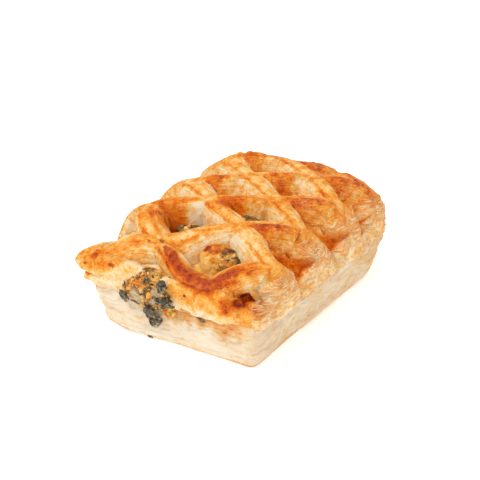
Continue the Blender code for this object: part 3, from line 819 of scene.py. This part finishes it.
def shapeFilling():
    piece = makeFilling()
    mesh = piece.data
    places, normals = placesOf(mesh), normalsOf(mesh)
    spot = places / mm
    near = np.zeros(len(places))
    for middle, half in stuffing["lumps"].values():
        near = np.maximum(near, 1 - ease(awayFrom(places, middle, np.array(half) + 2 * mm), 1.0, 1.5))
    upper = np.maximum(near, ease(spot[:, 2], 22, 27) * 0.7)

    # curds and crumbs, smooth where the cheese is crusty or grey
    (curdSize, curdRelief), (crumbSize, crumbRelief) = stuffing["curd"], stuffing["crumb"]
    first, second, mark = curdNoise(spot / curdSize + 0.3 * layeredNoise(spot / 3, 203, 2)[:, None], 205)
    small, _, smallMark = curdNoise(spot / crumbSize, 215)
    curds = (0.55 - first) * curdRelief - stuffing["crackDepth"] * (1 - ease(second - first, 0.0, 0.22))
    crusty = (0.40 * layeredNoise(spot / 2.2, 241, 4) + 0.10 * layeredNoise(spot / 0.9, 245, 2)) * mm
    greyed = np.zeros(len(places))
    for middle, radius in stuffing["greySpots"]:
        greyed = np.maximum(greyed, bell(awayFrom(spot, middle) / radius, 4))
    smooth = np.maximum(nearLump(places, "window") * (1 - ease(spot[:, 0], 9, 14)), greyed)
    relief = curds * (1 - 0.9 * smooth) + (0.5 - small) * crumbRelief * (1 - 0.8 * smooth) + crusty * smooth
    places = places + normals * (relief * upper)[:, None]
    movePoints(mesh, places)

    # cheese in the window and the golden crumb, more greens elsewhere
    inWindow, inSpill = nearLump(places, "window"), nearLump(places, "spill")
    elsewhere = 1 - np.clip(inWindow + inSpill, 0, 1)
    rightSide = ease(spot[:, 0] - stuffing["lumps"]["window"][0][0] / mm, 0, 4)
    onCrumb = bell(awayFrom(places, stuffing["lumps"]["goldenCrumb"][0]) / stuffing["goldenReach"], 4)
    green = layeredNoise(spot / 4.2, 221, 3) * (1 - 0.6 * inWindow)
    green = green - 1.5 * inWindow * (1 - rightSide) + 0.05 * rightSide * inWindow
    green = green + 0.45 * elsewhere - 0.10 * inSpill - 1.6 * onCrumb
    toast = 0.26 + 0.26 * layeredNoise(spot / 3.0, 231, 2) + 0.14 * inSpill
    patches = 0.34 * ease(layeredNoise(spot / 2.4, 235, 3), 0.0, 0.45)
    # less toast on the left of the window lump: a painted highlight on the side toward the key light
    toast = toast + inWindow * (patches - 0.20 * (1 - rightSide) + 0.10 * ease(spot[:, 2], 33.5, 36.5))
    for middle, radius, amount in stuffing["brownSpots"]:
        toast = toast + amount * bell(awayFrom(spot, middle) / radius, 4)
    # painted shade: darker in the cracks between curds
    crack = (1 - ease(second - first, 0.02, 0.30)) * (1 - 0.9 * smooth)
    curdMark = mark * (1 - 0.85 * smooth) + 0.35 * smooth
    keepValues(mesh, greyed=greyed, curdMark=curdMark, smallMark=smallMark, crack=crack)
    keepValues(mesh, greenness=green, toast=np.clip(toast, 0, 1.5))
    return piece


print("filling: curds and greens")
spinachFilling = shapeFilling()


# crumbs of cheese and dough on the filling
crumbs = {
    "patches": (  # lump, how many, least and most radius, seed
        ("spill", 420, 0.25 * mm, 0.72 * mm, 11),
        ("window", 34, 0.22 * mm, 0.50 * mm, 12),
        ("secondCell", 26, 0.35 * mm, 0.9 * mm, 13),
        ("thirdCell", 26, 0.35 * mm, 0.9 * mm, 14),
    ),
    "sunk": 0.25,
    "lowEdge": 13 * mm,  # below this on the spill only half of them stay
    "stretch": (0.65, 1.25),
    "knob": (0.10, 0.24),
    "waves": (2.0, 4.5),
    "darkShare": 0.22,
    "moreDark": {"window": 0.25, "secondCell": 0.3, "thirdCell": 0.3},
    "tones": (0.25, 0.5),
}


def shapeCrumbs():
    work = bmesh.new()
    tones, greens = [], []
    for lump, count, least, most, seed in crumbs["patches"]:
        dice = np.random.default_rng(seed)
        middle, half = stuffing["lumps"][lump]
        for _ in range(count):
            direction = dice.normal(size=3)
            if lump == "spill":
                direction[1] = -abs(direction[1])
            else:
                direction[2] = abs(direction[2])
                direction[1] = direction[1] * 0.9
            direction = Vector(direction / np.linalg.norm(direction))
            radius = least + (most - least) * dice.random() ** 2.0
            swell = lumpSwell(direction, middle)
            reach = [half[axis] * swell - crumbs["sunk"] * radius for axis in range(3)]
            place = Vector([middle[axis] + direction[axis] * reach[axis] for axis in range(3)])
            if lump == "spill" and place.z < crumbs["lowEdge"] and dice.random() < 0.5:
                continue
            if any((place / mm - Vector(spot)).length < size * 0.9 for spot, size in stuffing["greySpots"]):
                continue
            if lump == "window" and place.x < middle[0] + 1 * mm:
                continue
            stretch = Matrix.Diagonal(Vector(dice.uniform(*crumbs["stretch"], size=3))).to_4x4()
            spin = Matrix.Rotation(dice.uniform(0, 6.28), 4, Vector(dice.normal(size=3)).normalized())
            matrix = Matrix.Translation(place) @ spin @ stretch
            made = bmesh.ops.create_icosphere(work, subdivisions=2, radius=radius, matrix=matrix)
            knob = dice.uniform(*crumbs["knob"])
            waves = dice.uniform(*crumbs["waves"], size=3)
            phase, phases = dice.uniform(0, 6.28), (1, -1, 2)
            for vertex in made["verts"]:
                offset = vertex.co - place
                unit = offset.normalized()
                bump = sum(math.sin(unit[axis] * waves[axis] + phase * phases[axis]) for axis in range(3))
                vertex.co = place + offset * (1 + knob * bump)
            onDarkSide = lump != "window" or (place.x - middle[0]) / half[0] > 0.1
            dark = crumbs["darkShare"] + crumbs["moreDark"].get(lump, 0.0) * onDarkSide
            greens.extend([float(dice.random() < dark)] * len(made["verts"]))
            tones.extend([crumbs["tones"][0] + crumbs["tones"][1] * dice.random()] * len(made["verts"]))
    mesh = meshFrom(work, "fillingCrumbs")
    keepValues(mesh, tone=tones, isGreen=greens)
    return addPiece("fillingCrumbs", mesh)


fillingCrumbs = shapeCrumbs()


# cooked leaves, thin and wavy, draped over the spill
leaves = {
    "sheets": (  # name, node, top edge, half width, length, lean
        ("leafHanging", "spinach_leaf_hanging", (-8.5 * mm, 16.5 * mm), 3.4 * mm, 9.8 * mm, -16.0),
        ("leafLeft", "spinach_leaf_left", (-22.0 * mm, 20.2 * mm), 2.3 * mm, 5.4 * mm, -24.0),
        ("leafRight", "spinach_leaf_right", (0.2 * mm, 22.2 * mm), 3.8 * mm, 3.8 * mm, 12.0),
        ("leafTop", "spinach_leaf_top", (-3.2 * mm, 28.8 * mm), 1.9 * mm, 4.8 * mm, -25.0),
    ),
    "thickness": 0.45 * mm,
    "clearance": 0.6 * mm,
    "columns": 26,
    "rows": 40,
    "lift": 0.35 * mm,
    "crinkle": (0.33 * mm, 0.30 * mm),  # random and wavy
    "veinDepth": 0.16 * mm,
}


def frontReach(x, z):
    middle, half = stuffing["lumps"]["spill"]
    size = [(reach + leaves["clearance"]) * (1 + 3 * stuffing["swell"]) for reach in half]
    inside = 1 - ((x - middle[0]) / size[0]) ** 2 - ((z - middle[2]) / size[2]) ** 2
    lump = middle[1] - size[1] * np.sqrt(np.maximum(0.0, inside))
    return np.minimum(lump, -pastry["baseLength"] / 2 - leaves["clearance"])


def shapeLeaf(name, node, top, halfWidth, length, lean, seed):
    columns, rows = leaves["columns"], leaves["rows"]
    across, down = np.meshgrid(np.linspace(-1, 1, columns + 1), np.linspace(0, 1, rows + 1), indexing="ij")
    ragged = layeredNoise(joined(np.sign(across), down * 6, seed), seed, 3) * 0.16
    width = halfWidth * (0.86 + 0.18 * np.sin(9 * down + across) + ragged * np.abs(across))
    width = width * np.clip(0.55 + 2.2 * down, 0, 1) * np.clip(0.6 + 2.0 * (1 - down), 0, 1)
    tear = layeredNoise(joined(across * 3, 0.0, seed), seed + 5, 3) * 0.07
    turn = math.radians(lean)
    localX, localZ = across * width, -(down + tear * down) * length
    x = top[0] + localX * math.cos(turn) + localZ * math.sin(turn)
    z = top[1] - localX * math.sin(turn) + localZ * math.cos(turn)
    crinkle = layeredNoise(joined(x, z, 0.0) / mm / 1.7, seed + 9, 3) * leaves["crinkle"][0]
    crinkle = crinkle + leaves["crinkle"][1] * np.sin(7 * down + 2.5 * across)
    y = frontReach(x, z) - leaves["lift"] - crinkle + leaves["veinDepth"] * bell(across / 0.10)
    vertices, faces = [], []
    for side in (0, 1):
        vertices.extend(joined(x, y - side * leaves["thickness"], z).reshape(-1, 3).tolist())
    total = (columns + 1) * (rows + 1)
    for side, column, row in itertools.product((0, 1), range(columns), range(rows)):
        first = side * total + column * (rows + 1) + row
        corners = (first, first + 1, first + rows + 2, first + rows + 1)
        faces.append(corners if side == 0 else corners[::-1])
    rim = [column * (rows + 1) + row for column, row in rimOf(columns, rows)]
    for index, after in zip(rim, rim[1:] + rim[:1]):
        faces.append((index, after, after + total, index + total))
    mesh = bpy.data.meshes.new(name)
    mesh.from_pydata(vertices, [], faces)
    work = bmesh.new()
    work.from_mesh(mesh)
    bmesh.ops.recalc_face_normals(work, faces=work.faces)
    work.to_mesh(mesh)
    work.free()
    keepValues(mesh, vein=np.tile(bell(across / 0.12).ravel(), 2), tip=np.tile(down.ravel(), 2))
    return addPiece(name, mesh, (node,))


print("leaves and crumbs")
leafPieces = [shapeLeaf(*sheet, 300 + 10 * index) for index, sheet in enumerate(leaves["sheets"])]


# small shreds of leaf on the spill, in the open cells and on the crust
shreds = {
    "seed": 46,
    "counts": {"spill": 17, "window": 12},
    "length": (1.4 * mm, 4.2 * mm),
    "windowScale": 0.6,
    "slimness": (0.35, 0.7),
    "clear": ((-15.0, -62.5, 18.4), 5.3),  # kept off the large grey lump, in mm
    "grid": (8, 3),
    "thickness": 0.22 * mm,
    "tip": 0.4,
    "single": (  # place, length and width in mm, turn on the wall
        ((15.7, -60.6, 15.9), 4.4, 1.1, 20),
        ((-8.9, -61.2, 1.3), 3.2, 0.9, 8),
        ((7.7, -60.8, 24.7), 1.2, 1.0, 30),
        ((-9.3, -63.2, 19.4), 5.6, 2.3, 82),
        ((-14.8, -62.8, 16.6), 5.0, 0.9, 10),
        ((-19.6, -61.9, 17.6), 4.4, 1.0, 62),
    ),
}


def addShred(work, place, alongDirection, outDirection, length, width, dice):
    along = Vector(alongDirection).normalized()
    out = Vector(outDirection).normalized()
    side = out.cross(along).normalized()
    columns, rows = shreds["grid"]
    bend, phase = dice.uniform(-0.35, 0.35), dice.uniform(0, 6.28)
    sheets = [{}, {}]
    for layer, column in itertools.product((0, 1), range(columns + 1)):
        share = 2 * column / columns - 1
        taper = max(0.12, 1 - abs(share) ** 2.4)
        wave = 0.12 * math.sin(4 * share + phase) + bend * share * share
        for row in range(rows + 1):
            notched = 1 + 0.2 * math.sin(5 * share + phase + row)
            offset = (2 * row / rows - 1) * width / 2 * taper * notched
            lift = wave * width + layer * shreds["thickness"]
            spot = Vector(place) + along * share * length / 2 + side * offset + out * lift
            sheets[layer][column, row] = work.verts.new(spot)
    closeSheets(work, sheets, columns, rows)


def shapeShreds():
    work = bmesh.new()
    dice = np.random.default_rng(shreds["seed"])
    clearPlace, clearReach = shreds["clear"]
    for lump, count in shreds["counts"].items():
        middle, half = stuffing["lumps"][lump]
        for _ in range(count):
            direction = dice.normal(size=3)
            if lump == "spill":
                direction[1] = -abs(direction[1]) - 0.3
            else:
                direction = np.array([abs(direction[0]) + 0.9, direction[1] - 0.5, abs(direction[2])])
            direction = Vector(direction / np.linalg.norm(direction))
            reach = [half[axis] * lumpSwell(direction, middle) + 0.5 * mm for axis in range(3)]
            place = [middle[axis] + direction[axis] * reach[axis] for axis in range(3)]
            along = direction.cross(Vector(dice.normal(size=3)))
            if (Vector(place) / mm - Vector(clearPlace)).length < clearReach:
                continue
            length = dice.uniform(*shreds["length"]) * (shreds["windowScale"] if lump == "window" else 1.0)
            width = length * dice.uniform(*shreds["slimness"])
            addShred(work, place, along, direction, length, width, dice)
    for place, length, width, turn in shreds["single"]:
        angle = math.radians(turn)
        along = (math.cos(angle), 0, -math.sin(angle))
        addShred(work, [part * mm for part in place], along, (0, -1, 0.05), length * mm, width * mm, dice)
    bmesh.ops.recalc_face_normals(work, faces=work.faces)
    mesh = meshFrom(work, "leafShreds")
    count = len(mesh.vertices)
    keepValues(mesh, vein=np.zeros(count), tip=np.full(count, shreds["tip"]))
    return addPiece("leafShreds", mesh)


leafShreds = shapeShreds()


# thin flakes that stand off the caps and along the seam
flakes = {
    "count": 240,
    "length": (2.0 * mm, 7.0 * mm),
    "width": (0.25 * mm, 0.7 * mm),
    "lift": (4, 20),  # degrees off the surface
    "ragged": (0.2, 0.5),
    "grid": (10, 3),
    "thickness": 0.16 * mm,
    "curl": -0.045,
    "seam": (18.5, 1.6, -57),  # height, reach and front end in mm
    "seed": 77,
}


def addFlake(work, place, normal, along, lift, dice):
    up = normal.cross(along).normalized()
    if up.z > 0:
        up = -up
    out = (normal * math.cos(lift) - up * math.sin(lift)).normalized()
    length, width = dice.uniform(*flakes["length"]), dice.uniform(*flakes["width"])
    phase, ragged = dice.uniform(0, 6.28), dice.uniform(*flakes["ragged"])
    side = out.cross(along).normalized()
    if side.z > 0:
        side = -side
    columns, rows = flakes["grid"]
    sheets = [{}, {}]
    for layer, column in itertools.product((0, 1), range(columns + 1)):
        share = 2 * column / columns - 1
        notches = 0.5 * math.sin(6 * share + phase) + 0.4 * math.sin(15 * share - phase)
        edge = max(0.15, 1 - abs(share) ** 2.2) * (1 + ragged * notches)
        curl = flakes["curl"] * length * share * share
        for row in range(rows + 1):
            reach = row / rows * width * edge
            lifted = math.tan(lift) * reach - 0.1 * mm + layer * flakes["thickness"]
            spot = place + along * share * length / 2 + side * reach + normal * (lifted + curl)
            sheets[layer][column, row] = work.verts.new(spot)
    closeSheets(work, sheets, columns, rows)


def shapeFlakes(host):
    mesh = host.data
    places, normals = placesOf(mesh), normalsOf(mesh)
    x, y, z = (places / mm).T
    rosy = np.empty(len(places), dtype=np.float32)
    mesh.attributes["rosy"].data.foreach_get("value", rosy)
    height, reach, frontEnd = flakes["seam"]
    seam = bell((z - height) / reach) * (0.35 + 0.65 * (x > 20)) * (y > frontEnd)
    want = np.clip(rosy * 0.9 + seam, 0, 1)
    dice = np.random.default_rng(flakes["seed"])
    chosen = dice.choice(len(places), size=flakes["count"], p=want / want.sum(), replace=False)
    work = bmesh.new()
    tones = []
    for index in chosen:
        normal = Vector(normals[index])
        level = Vector((-normal.y, normal.x, 0.0))
        if level.length < 0.1:
            continue
        along = level.normalized() + Vector((0, 0, dice.uniform(-0.25, 0.25)))
        lift = math.radians(dice.uniform(*flakes["lift"]))
        before = len(work.verts)
        addFlake(work, Vector(places[index]) + normal * 0.12 * mm, normal, along, lift, dice)
        tones.extend([dice.random()] * (len(work.verts) - before))
    bmesh.ops.recalc_face_normals(work, faces=work.faces)
    made = meshFrom(work, "crustFlakes")
    keepValues(made, tone=tones)
    return addPiece("crustFlakes", made)


print("flakes along the caps and the seam")
crustFlakes = shapeFlakes(latticeCrust)


# shader sums: a wire is one socket, and a recipe is one material
class Wire:
    def __init__(self, recipe, socket):
        self.recipe, self.socket = recipe, socket

    def __add__(self, other):
        return self.recipe.reckon("ADD", self, other)

    def __sub__(self, other):
        return self.recipe.reckon("SUBTRACT", self, other)

    def __rsub__(self, other):
        return self.recipe.reckon("SUBTRACT", other, self)

    def __mul__(self, other):
        return self.recipe.reckon("MULTIPLY", self, other)

    __radd__ = __add__
    __rmul__ = __mul__

    def held(self):  # kept between 0 and 1
        return self.recipe.reckon("MULTIPLY", self, 1.0, hold=True)


class Recipe:
    def __init__(self, name):
        self.material = bpy.data.materials.new(name)
        self.material.use_nodes = True
        self.tree = self.material.node_tree
        self.shader = self.tree.nodes["Principled BSDF"]

    def node(self, kind, settings, sockets, out=0):
        made = self.tree.nodes.new(kind)
        for name, value in settings.items():
            if name == "stops":
                ramp = made.color_ramp.elements
                while len(ramp) < len(value):
                    ramp.new(0.5)
                for element, (place, colour) in zip(ramp, value):
                    element.position = place
                    element.color = colour
            else:
                setattr(made, name, value)
        for name, value in sockets.items():
            self.plug(made.inputs[name], value)
        return Wire(self, made.outputs[out])

    def plug(self, socket, value):
        if isinstance(value, Wire):
            self.tree.links.new(value.socket, socket)
        else:
            socket.default_value = value

    def reckon(self, operation, first, second, hold=False):
        settings = {"operation": operation, "use_clamp": hold}
        return self.node("ShaderNodeMath", settings, {0: first, 1: second})

    def blend(self, share, first, second):  # colours
        settings = {"data_type": "RGBA", "clamp_factor": True}
        return self.node("ShaderNodeMix", settings, {0: share, 6: first, 7: second}, out=2)

    def stretch(self, vector, sizes):
        return self.node("ShaderNodeVectorMath", {"operation": "MULTIPLY"}, {0: vector, 1: sizes})

    def value(self, name):
        return self.node("ShaderNodeAttribute", {"attribute_name": name}, {}, out=2)

    def vector(self, name):
        return self.node("ShaderNodeAttribute", {"attribute_name": name}, {}, out=1)

    def place(self):
        return self.node("ShaderNodeTexCoord", {}, {}, out=3)

    def noise(self, vector, size, detail=3.0, rough=0.55):
        sockets = {"Vector": vector, "Scale": 1.0 / size, "Detail": detail, "Roughness": rough}
        return self.node("ShaderNodeTexNoise", {}, sockets)

    def band(self, value, low, high):  # 0 below low, 1 above high
        sockets = {"Value": value, "From Min": low, "From Max": high}
        return self.node("ShaderNodeMapRange", {"interpolation_type": "SMOOTHSTEP"}, sockets)

    def ramp(self, value, stops, gain=1.0):
        tinted = [(place, tint(*colour, gain)) for place, colour in stops]
        return self.node("ShaderNodeValToRGB", {"stops": tinted}, {"Fac": value.held()})

    def finish(self, colour, rough, height=None, depth=0.2 * mm, strength=0.6, shine=0.5, glow=None):
        self.plug(self.shader.inputs["Base Color"], colour)
        self.plug(self.shader.inputs["Roughness"], rough)
        if height is not None:
            sockets = {"Strength": strength, "Distance": depth, "Height": height}
            self.plug(self.shader.inputs["Normal"], self.node("ShaderNodeBump", {}, sockets))
        self.plug(self.shader.inputs["Specular IOR Level"], shine)
        if glow is not None:
            self.plug(self.shader.inputs["Emission Color"], colour)
            self.plug(self.shader.inputs["Emission Strength"], glow)
        return self.material


def tint(red, green, blue, gain=1.0):  # screen colour, 0 to 255, to the shader's
    linear = []
    for part in (red, green, blue):
        share = part / 255
        light = share / 12.92 if share <= 0.04045 else ((share + 0.055) / 1.055) ** 2.4
        linear.append(min(1.0, gain * light))
    return (*linear, 1.0)


crustColours = {
    "stops": (
        (0.00, (253, 234, 202)), (0.14, (251, 217, 160)), (0.30, (247, 187, 98)), (0.45, (240, 152, 44)),
        (0.60, (231, 120, 8)), (0.75, (210, 90, 0)), (0.90, (172, 60, 0)), (1.00, (98, 34, 12)),
    ),
    "burnt": (200, 80, 30),
    "burntDark": (142, 38, 18),
    "rosy": (232, 162, 96),
    "flake": (250, 220, 172),
    "gain": 0.92,
    "shine": 0.17,
}


def crustMaterial():
    recipe = Recipe("bakedCrust")
    gain = crustColours["gain"]
    place = recipe.place()
    strand = recipe.vector("strand")
    layers = recipe.value("layersShown")
    rosy = recipe.value("rosy")
    blister = recipe.value("blister")
    streak = recipe.noise(recipe.stretch(strand, (0.10, 1.5, 1.0)), 1.0, 5.0, 0.65)
    fineStreak = recipe.noise(recipe.stretch(strand, (0.22, 4.0, 1.0)), 1.0, 3.0, 0.6)
    mottle = recipe.noise(place, 2.6 * mm, 6.0, 0.68)
    patch = recipe.band(recipe.noise(place, 3.6 * mm, 8.0, 0.74), 0.47, 0.55)
    speck = recipe.noise(place, 0.7 * mm, 3.0, 0.6)
    bake = recipe.value("bake") + (mottle - 0.5) * 0.38 + (patch - 0.5) * 0.16 + (speck - 0.5) * 0.46
    bake = bake + (recipe.band(streak, 0.38, 0.64) - 0.5) * (layers * 0.15 + rosy * 0.32 + 0.08)
    bake = bake + (fineStreak - 0.5) * (layers * 0.36 + rosy * 0.50 + 0.26)
    colour = recipe.ramp(bake, crustColours["stops"], gain)
    rosyShare = (rosy * (0.12 + recipe.band(streak, 0.35, 0.6) * 0.36)).held()
    colour = recipe.blend(rosyShare, colour, tint(*crustColours["rosy"], gain))
    paleLayers = recipe.band(streak, 0.54, 0.66) * (rosy * 0.58 + layers * 0.30)
    paleSpots = recipe.band(recipe.noise(place, 1.0 * mm, 2.0, 0.6), 0.60, 0.70) * blister
    colour = recipe.blend((paleLayers + paleSpots * 0.8).held(), colour, tint(*crustColours["flake"], gain))
    burnt = recipe.value("burnt")
    dark, darkest = tint(*crustColours["burnt"], gain), tint(*crustColours["burntDark"], gain)
    burntColour = recipe.blend(recipe.band(mottle, 0.42, 0.62), dark, darkest)
    colour = recipe.blend((burnt * 0.92).held(), colour, burntColour)
    glazed = recipe.band(recipe.value("bake"), 0.38, 0.70)
    rough = 0.62 - glazed * 0.20 - burnt * 0.16 + layers * 0.10
    height = (streak * layers) * 0.9 + (fineStreak * layers) * 0.6
    height = height + fineStreak * 0.35 + mottle * 0.45 + speck * 0.45
    return recipe.finish(colour, rough.held(), height, 0.34 * mm, 0.95, crustColours["shine"])


doughColours = {
    "stops": (
        (0.00, (250, 236, 212)), (0.20, (248, 226, 192)), (0.40, (245, 208, 156)),
        (0.62, (239, 180, 108)), (0.85, (228, 146, 68)), (1.00, (205, 108, 38)),
    ),
    # painted shade colour for the right face by the near corner
    "greyed": (236, 210, 178),
    "gain": 0.93,
    "shine": 0.3,
}


def doughMaterial():
    recipe = Recipe("sideDough")
    place = recipe.place()
    strand = recipe.vector("strand")
    streak = recipe.noise(recipe.stretch(strand, (0.16, 0.85, 1.0)), 1.0, 6.0, 0.68)
    fineStreak = recipe.noise(recipe.stretch(strand, (0.35, 2.6, 1.0)), 1.0, 4.0, 0.62)
    mottle = recipe.noise(place, 4.0 * mm, 7.0, 0.70)
    patch = recipe.band(recipe.noise(recipe.stretch(strand, (0.22, 0.6, 1.0)), 1.0, 6.0, 0.7), 0.54, 0.62)
    bake = recipe.value("gold") + (mottle - 0.5) * 0.34 + patch * 0.24
    bake = bake + (streak - 0.5) * 0.36 + (fineStreak - 0.5) * 0.34 - 0.12
    colour = recipe.ramp(bake, doughColours["stops"], doughColours["gain"])
    # the greyish beige blended in on the right face by the near corner is painted shade
    colour = recipe.blend((recipe.value("greyed") * 0.55).held(), colour, tint(*doughColours["greyed"]))
    height = streak * 1.6 + fineStreak * 1.3 + mottle * 0.7
    return recipe.finish(colour, 0.72 - mottle * 0.1, height, 0.40 * mm, 0.9, doughColours["shine"])


fillingColours = {
    "cheese": (
        (0.0, (252, 222, 152)), (0.35, (246, 190, 88)), (0.6, (228, 138, 26)),
        (0.82, (196, 84, 14)), (1.0, (146, 34, 16)),
    ),
    "greens": ((0.0, (52, 38, 16)), (0.35, (124, 88, 36)), (0.7, (196, 146, 74)), (1.0, (232, 194, 130))),
    "fresh": ((0.0, (112, 90, 56)), (0.40, (186, 158, 114)), (0.60, (218, 190, 144)), (1.0, (240, 218, 178))),
    # painted shade colour for the cracks between curds
    "crack": (82, 50, 24),
    "shine": 0.3,
}


def fillingMaterial():
    recipe = Recipe("spinachFetaFilling")
    place = recipe.place()
    mottle = recipe.noise(place, 1.1 * mm, 4.0, 0.6)
    fine = recipe.noise(place, 0.4 * mm, 3.0, 0.6)
    grit = recipe.noise(place, 0.75 * mm, 3.0, 0.65)
    toasted = recipe.value("toast") * 0.7 + recipe.value("curdMark") * 0.35
    toasted = toasted + (mottle - 0.5) * 0.7 + (grit - 0.5) * 0.3
    cheese = recipe.ramp(toasted, fillingColours["cheese"])
    leafy = recipe.value("smallMark") * 0.6 + (fine - 0.5) * 0.9 + recipe.value("toast") * 0.2 - 0.02
    greens = recipe.ramp(leafy, fillingColours["greens"])
    share = recipe.band(recipe.value("greenness") + (mottle - 0.5) * 0.9 + (grit - 0.5) * 1.4, 0.04, 0.26)
    colour = recipe.blend(share, cheese, greens)
    fresh = recipe.ramp(mottle + (fine - 0.5) * 0.6, fillingColours["fresh"])
    colour = recipe.blend((recipe.value("greyed") * 1.3 - 0.15).held(), colour, fresh)
    # the dark brown in the cracks between curds is painted shade
    colour = recipe.blend(recipe.value("crack") * 0.45, colour, tint(*fillingColours["crack"]))
    height = mottle + fine * 0.6
    return recipe.finish(colour, 0.46 + fine * 0.2, height, 0.4 * mm, 0.8, fillingColours["shine"])


crumbColours = {
    "cheese": ((0.0, (246, 214, 156)), (0.30, (240, 184, 100)), (0.65, (224, 138, 40)), (1.0, (160, 66, 16))),
    "greens": ((0.0, (58, 46, 30)), (0.5, (132, 108, 68)), (1.0, (196, 164, 116))),
}


def crumbMaterial():
    recipe = Recipe("cheeseCrumb")
    mottle = recipe.noise(recipe.place(), 0.8 * mm, 4.0, 0.6)
    tone = recipe.value("tone") + (mottle - 0.5) * 0.9
    cheese = recipe.ramp(tone, crumbColours["cheese"])
    greens = recipe.ramp(tone, crumbColours["greens"])
    colour = recipe.blend(recipe.value("isGreen"), cheese, greens)
    return recipe.finish(colour, 0.5 + mottle * 0.15, mottle, 0.25 * mm, 0.7)


leafColours = {
    "stops": (
        (0.0, (20, 14, 14)), (0.35, (54, 42, 36)), (0.62, (96, 84, 62)),
        (0.85, (150, 132, 92)), (1.0, (196, 178, 132)),
    ),
    "vein": (104, 98, 60),
}


def leafMaterial():
    recipe = Recipe("cookedSpinach")
    place = recipe.place()
    mottle = recipe.noise(place, 1.3 * mm, 5.0, 0.7)
    fine = recipe.noise(place, 0.4 * mm, 3.0, 0.6)
    tone = (mottle - 0.5) * 3.4 + 0.44 + recipe.value("tip") * 0.20 + (fine - 0.5) * 1.2
    colour = recipe.ramp(tone, leafColours["stops"])
    colour = recipe.blend(recipe.value("vein") * 0.25, colour, tint(*leafColours["vein"]))
    return recipe.finish(colour, 0.40 + fine * 0.3, mottle * 1.5 + fine, 0.5 * mm, 1.0)


flakeColours = {
    "stops": ((0.0, (244, 212, 166)), (0.35, (240, 192, 136)), (0.7, (230, 156, 88)), (1.0, (208, 112, 44))),
}


def flakeMaterial():
    recipe = Recipe("thinFlake")
    mottle = recipe.noise(recipe.place(), 1.6 * mm, 4.0, 0.6)
    bake = recipe.value("tone") * 0.7 + (mottle - 0.5) * 0.7
    colour = recipe.ramp(bake, flakeColours["stops"])
    return recipe.finish(colour, 0.6 + mottle * 0.1, mottle, 0.2 * mm, 0.5)


print("materials")
latticeCrust.data.materials.append(crustMaterial())
sideDough.data.materials.append(doughMaterial())
spinachFilling.data.materials.clear()
spinachFilling.data.materials.append(fillingMaterial())
fillingCrumbs.data.materials.append(crumbMaterial())
leafLook = leafMaterial()
for piece in leafPieces + [leafShreds]:
    piece.data.materials.append(leafLook)
crustFlakes.data.materials.append(flakeMaterial())


# the pale floor, the light and the camera
studio = {
    "floorSize": 12.0,
    "floorColour": (0.97, 0.97, 0.97, 1.0),
    "floorGlow": 0.35,
    "worldColour": (1.0, 0.985, 0.965, 1.0),
    "worldStrength": 0.58,
    "key": ((-0.50, -0.50, 0.95), 0.45, 6.6),  # place, size, power
    "fill": ((0.75, -0.45, 0.45), 0.7, 1.8),
    "rim": ((0.15, 0.80, 0.70), 0.5, 2.5),
    "azimuth": 31.84,
    "elevation": 26.0,
    "target": (-26.76 * mm, 36.82 * mm, 0.0),
    "distance": 656.1 * mm,
    "lens": 105.0,
    "sensor": 36.0,
}


def makeFloor():
    work = bmesh.new()
    bmesh.ops.create_grid(work, x_segments=24, y_segments=24, size=studio["floorSize"] / 2)
    floor = addObject("paleFloor", meshFrom(work, "paleFloor"))
    recipe = Recipe("paleFloor")
    grain = recipe.noise(recipe.place(), 8 * mm, 3.0, 0.5)
    recipe.finish(studio["floorColour"], 0.8 + grain * 0.1, glow=studio["floorGlow"])
    floor.data.materials.append(recipe.material)


def addLight(name, place, size, power):
    light = bpy.data.lights.new(name, "AREA")
    light.shape = "DISK"
    light.size = size
    light.energy = power
    lamp = addObject(name, light)
    lamp.location = place
    lamp.rotation_euler = (Vector((0, 0, 0.02)) - Vector(place)).to_track_quat("-Z", "Y").to_euler()


def addCamera():
    camera = bpy.data.cameras.new("photoView")
    camera.lens = studio["lens"]
    camera.sensor_width = studio["sensor"]
    camera.clip_start = 0.01
    holder = addObject("photoView", camera)
    turn, tilt = math.radians(studio["azimuth"]), math.radians(studio["elevation"])
    away = Vector((math.sin(turn) * math.cos(tilt), -math.cos(turn) * math.cos(tilt), math.sin(tilt)))
    holder.location = Vector(studio["target"]) + away * studio["distance"]
    holder.rotation_euler = (-away).to_track_quat("-Z", "Y").to_euler()
    bpy.context.scene.camera = holder


print("floor, light and camera")
makeFloor()
world = bpy.data.worlds.new("studioAir")
bpy.context.scene.world = world
world.use_nodes = True
world.node_tree.nodes["Background"].inputs["Color"].default_value = studio["worldColour"]
world.node_tree.nodes["Background"].inputs["Strength"].default_value = studio["worldStrength"]
for lampName in ("key", "fill", "rim"):
    addLight(lampName + "Light", *studio[lampName])
addCamera()
bpy.context.scene.view_settings.view_transform = "Standard"
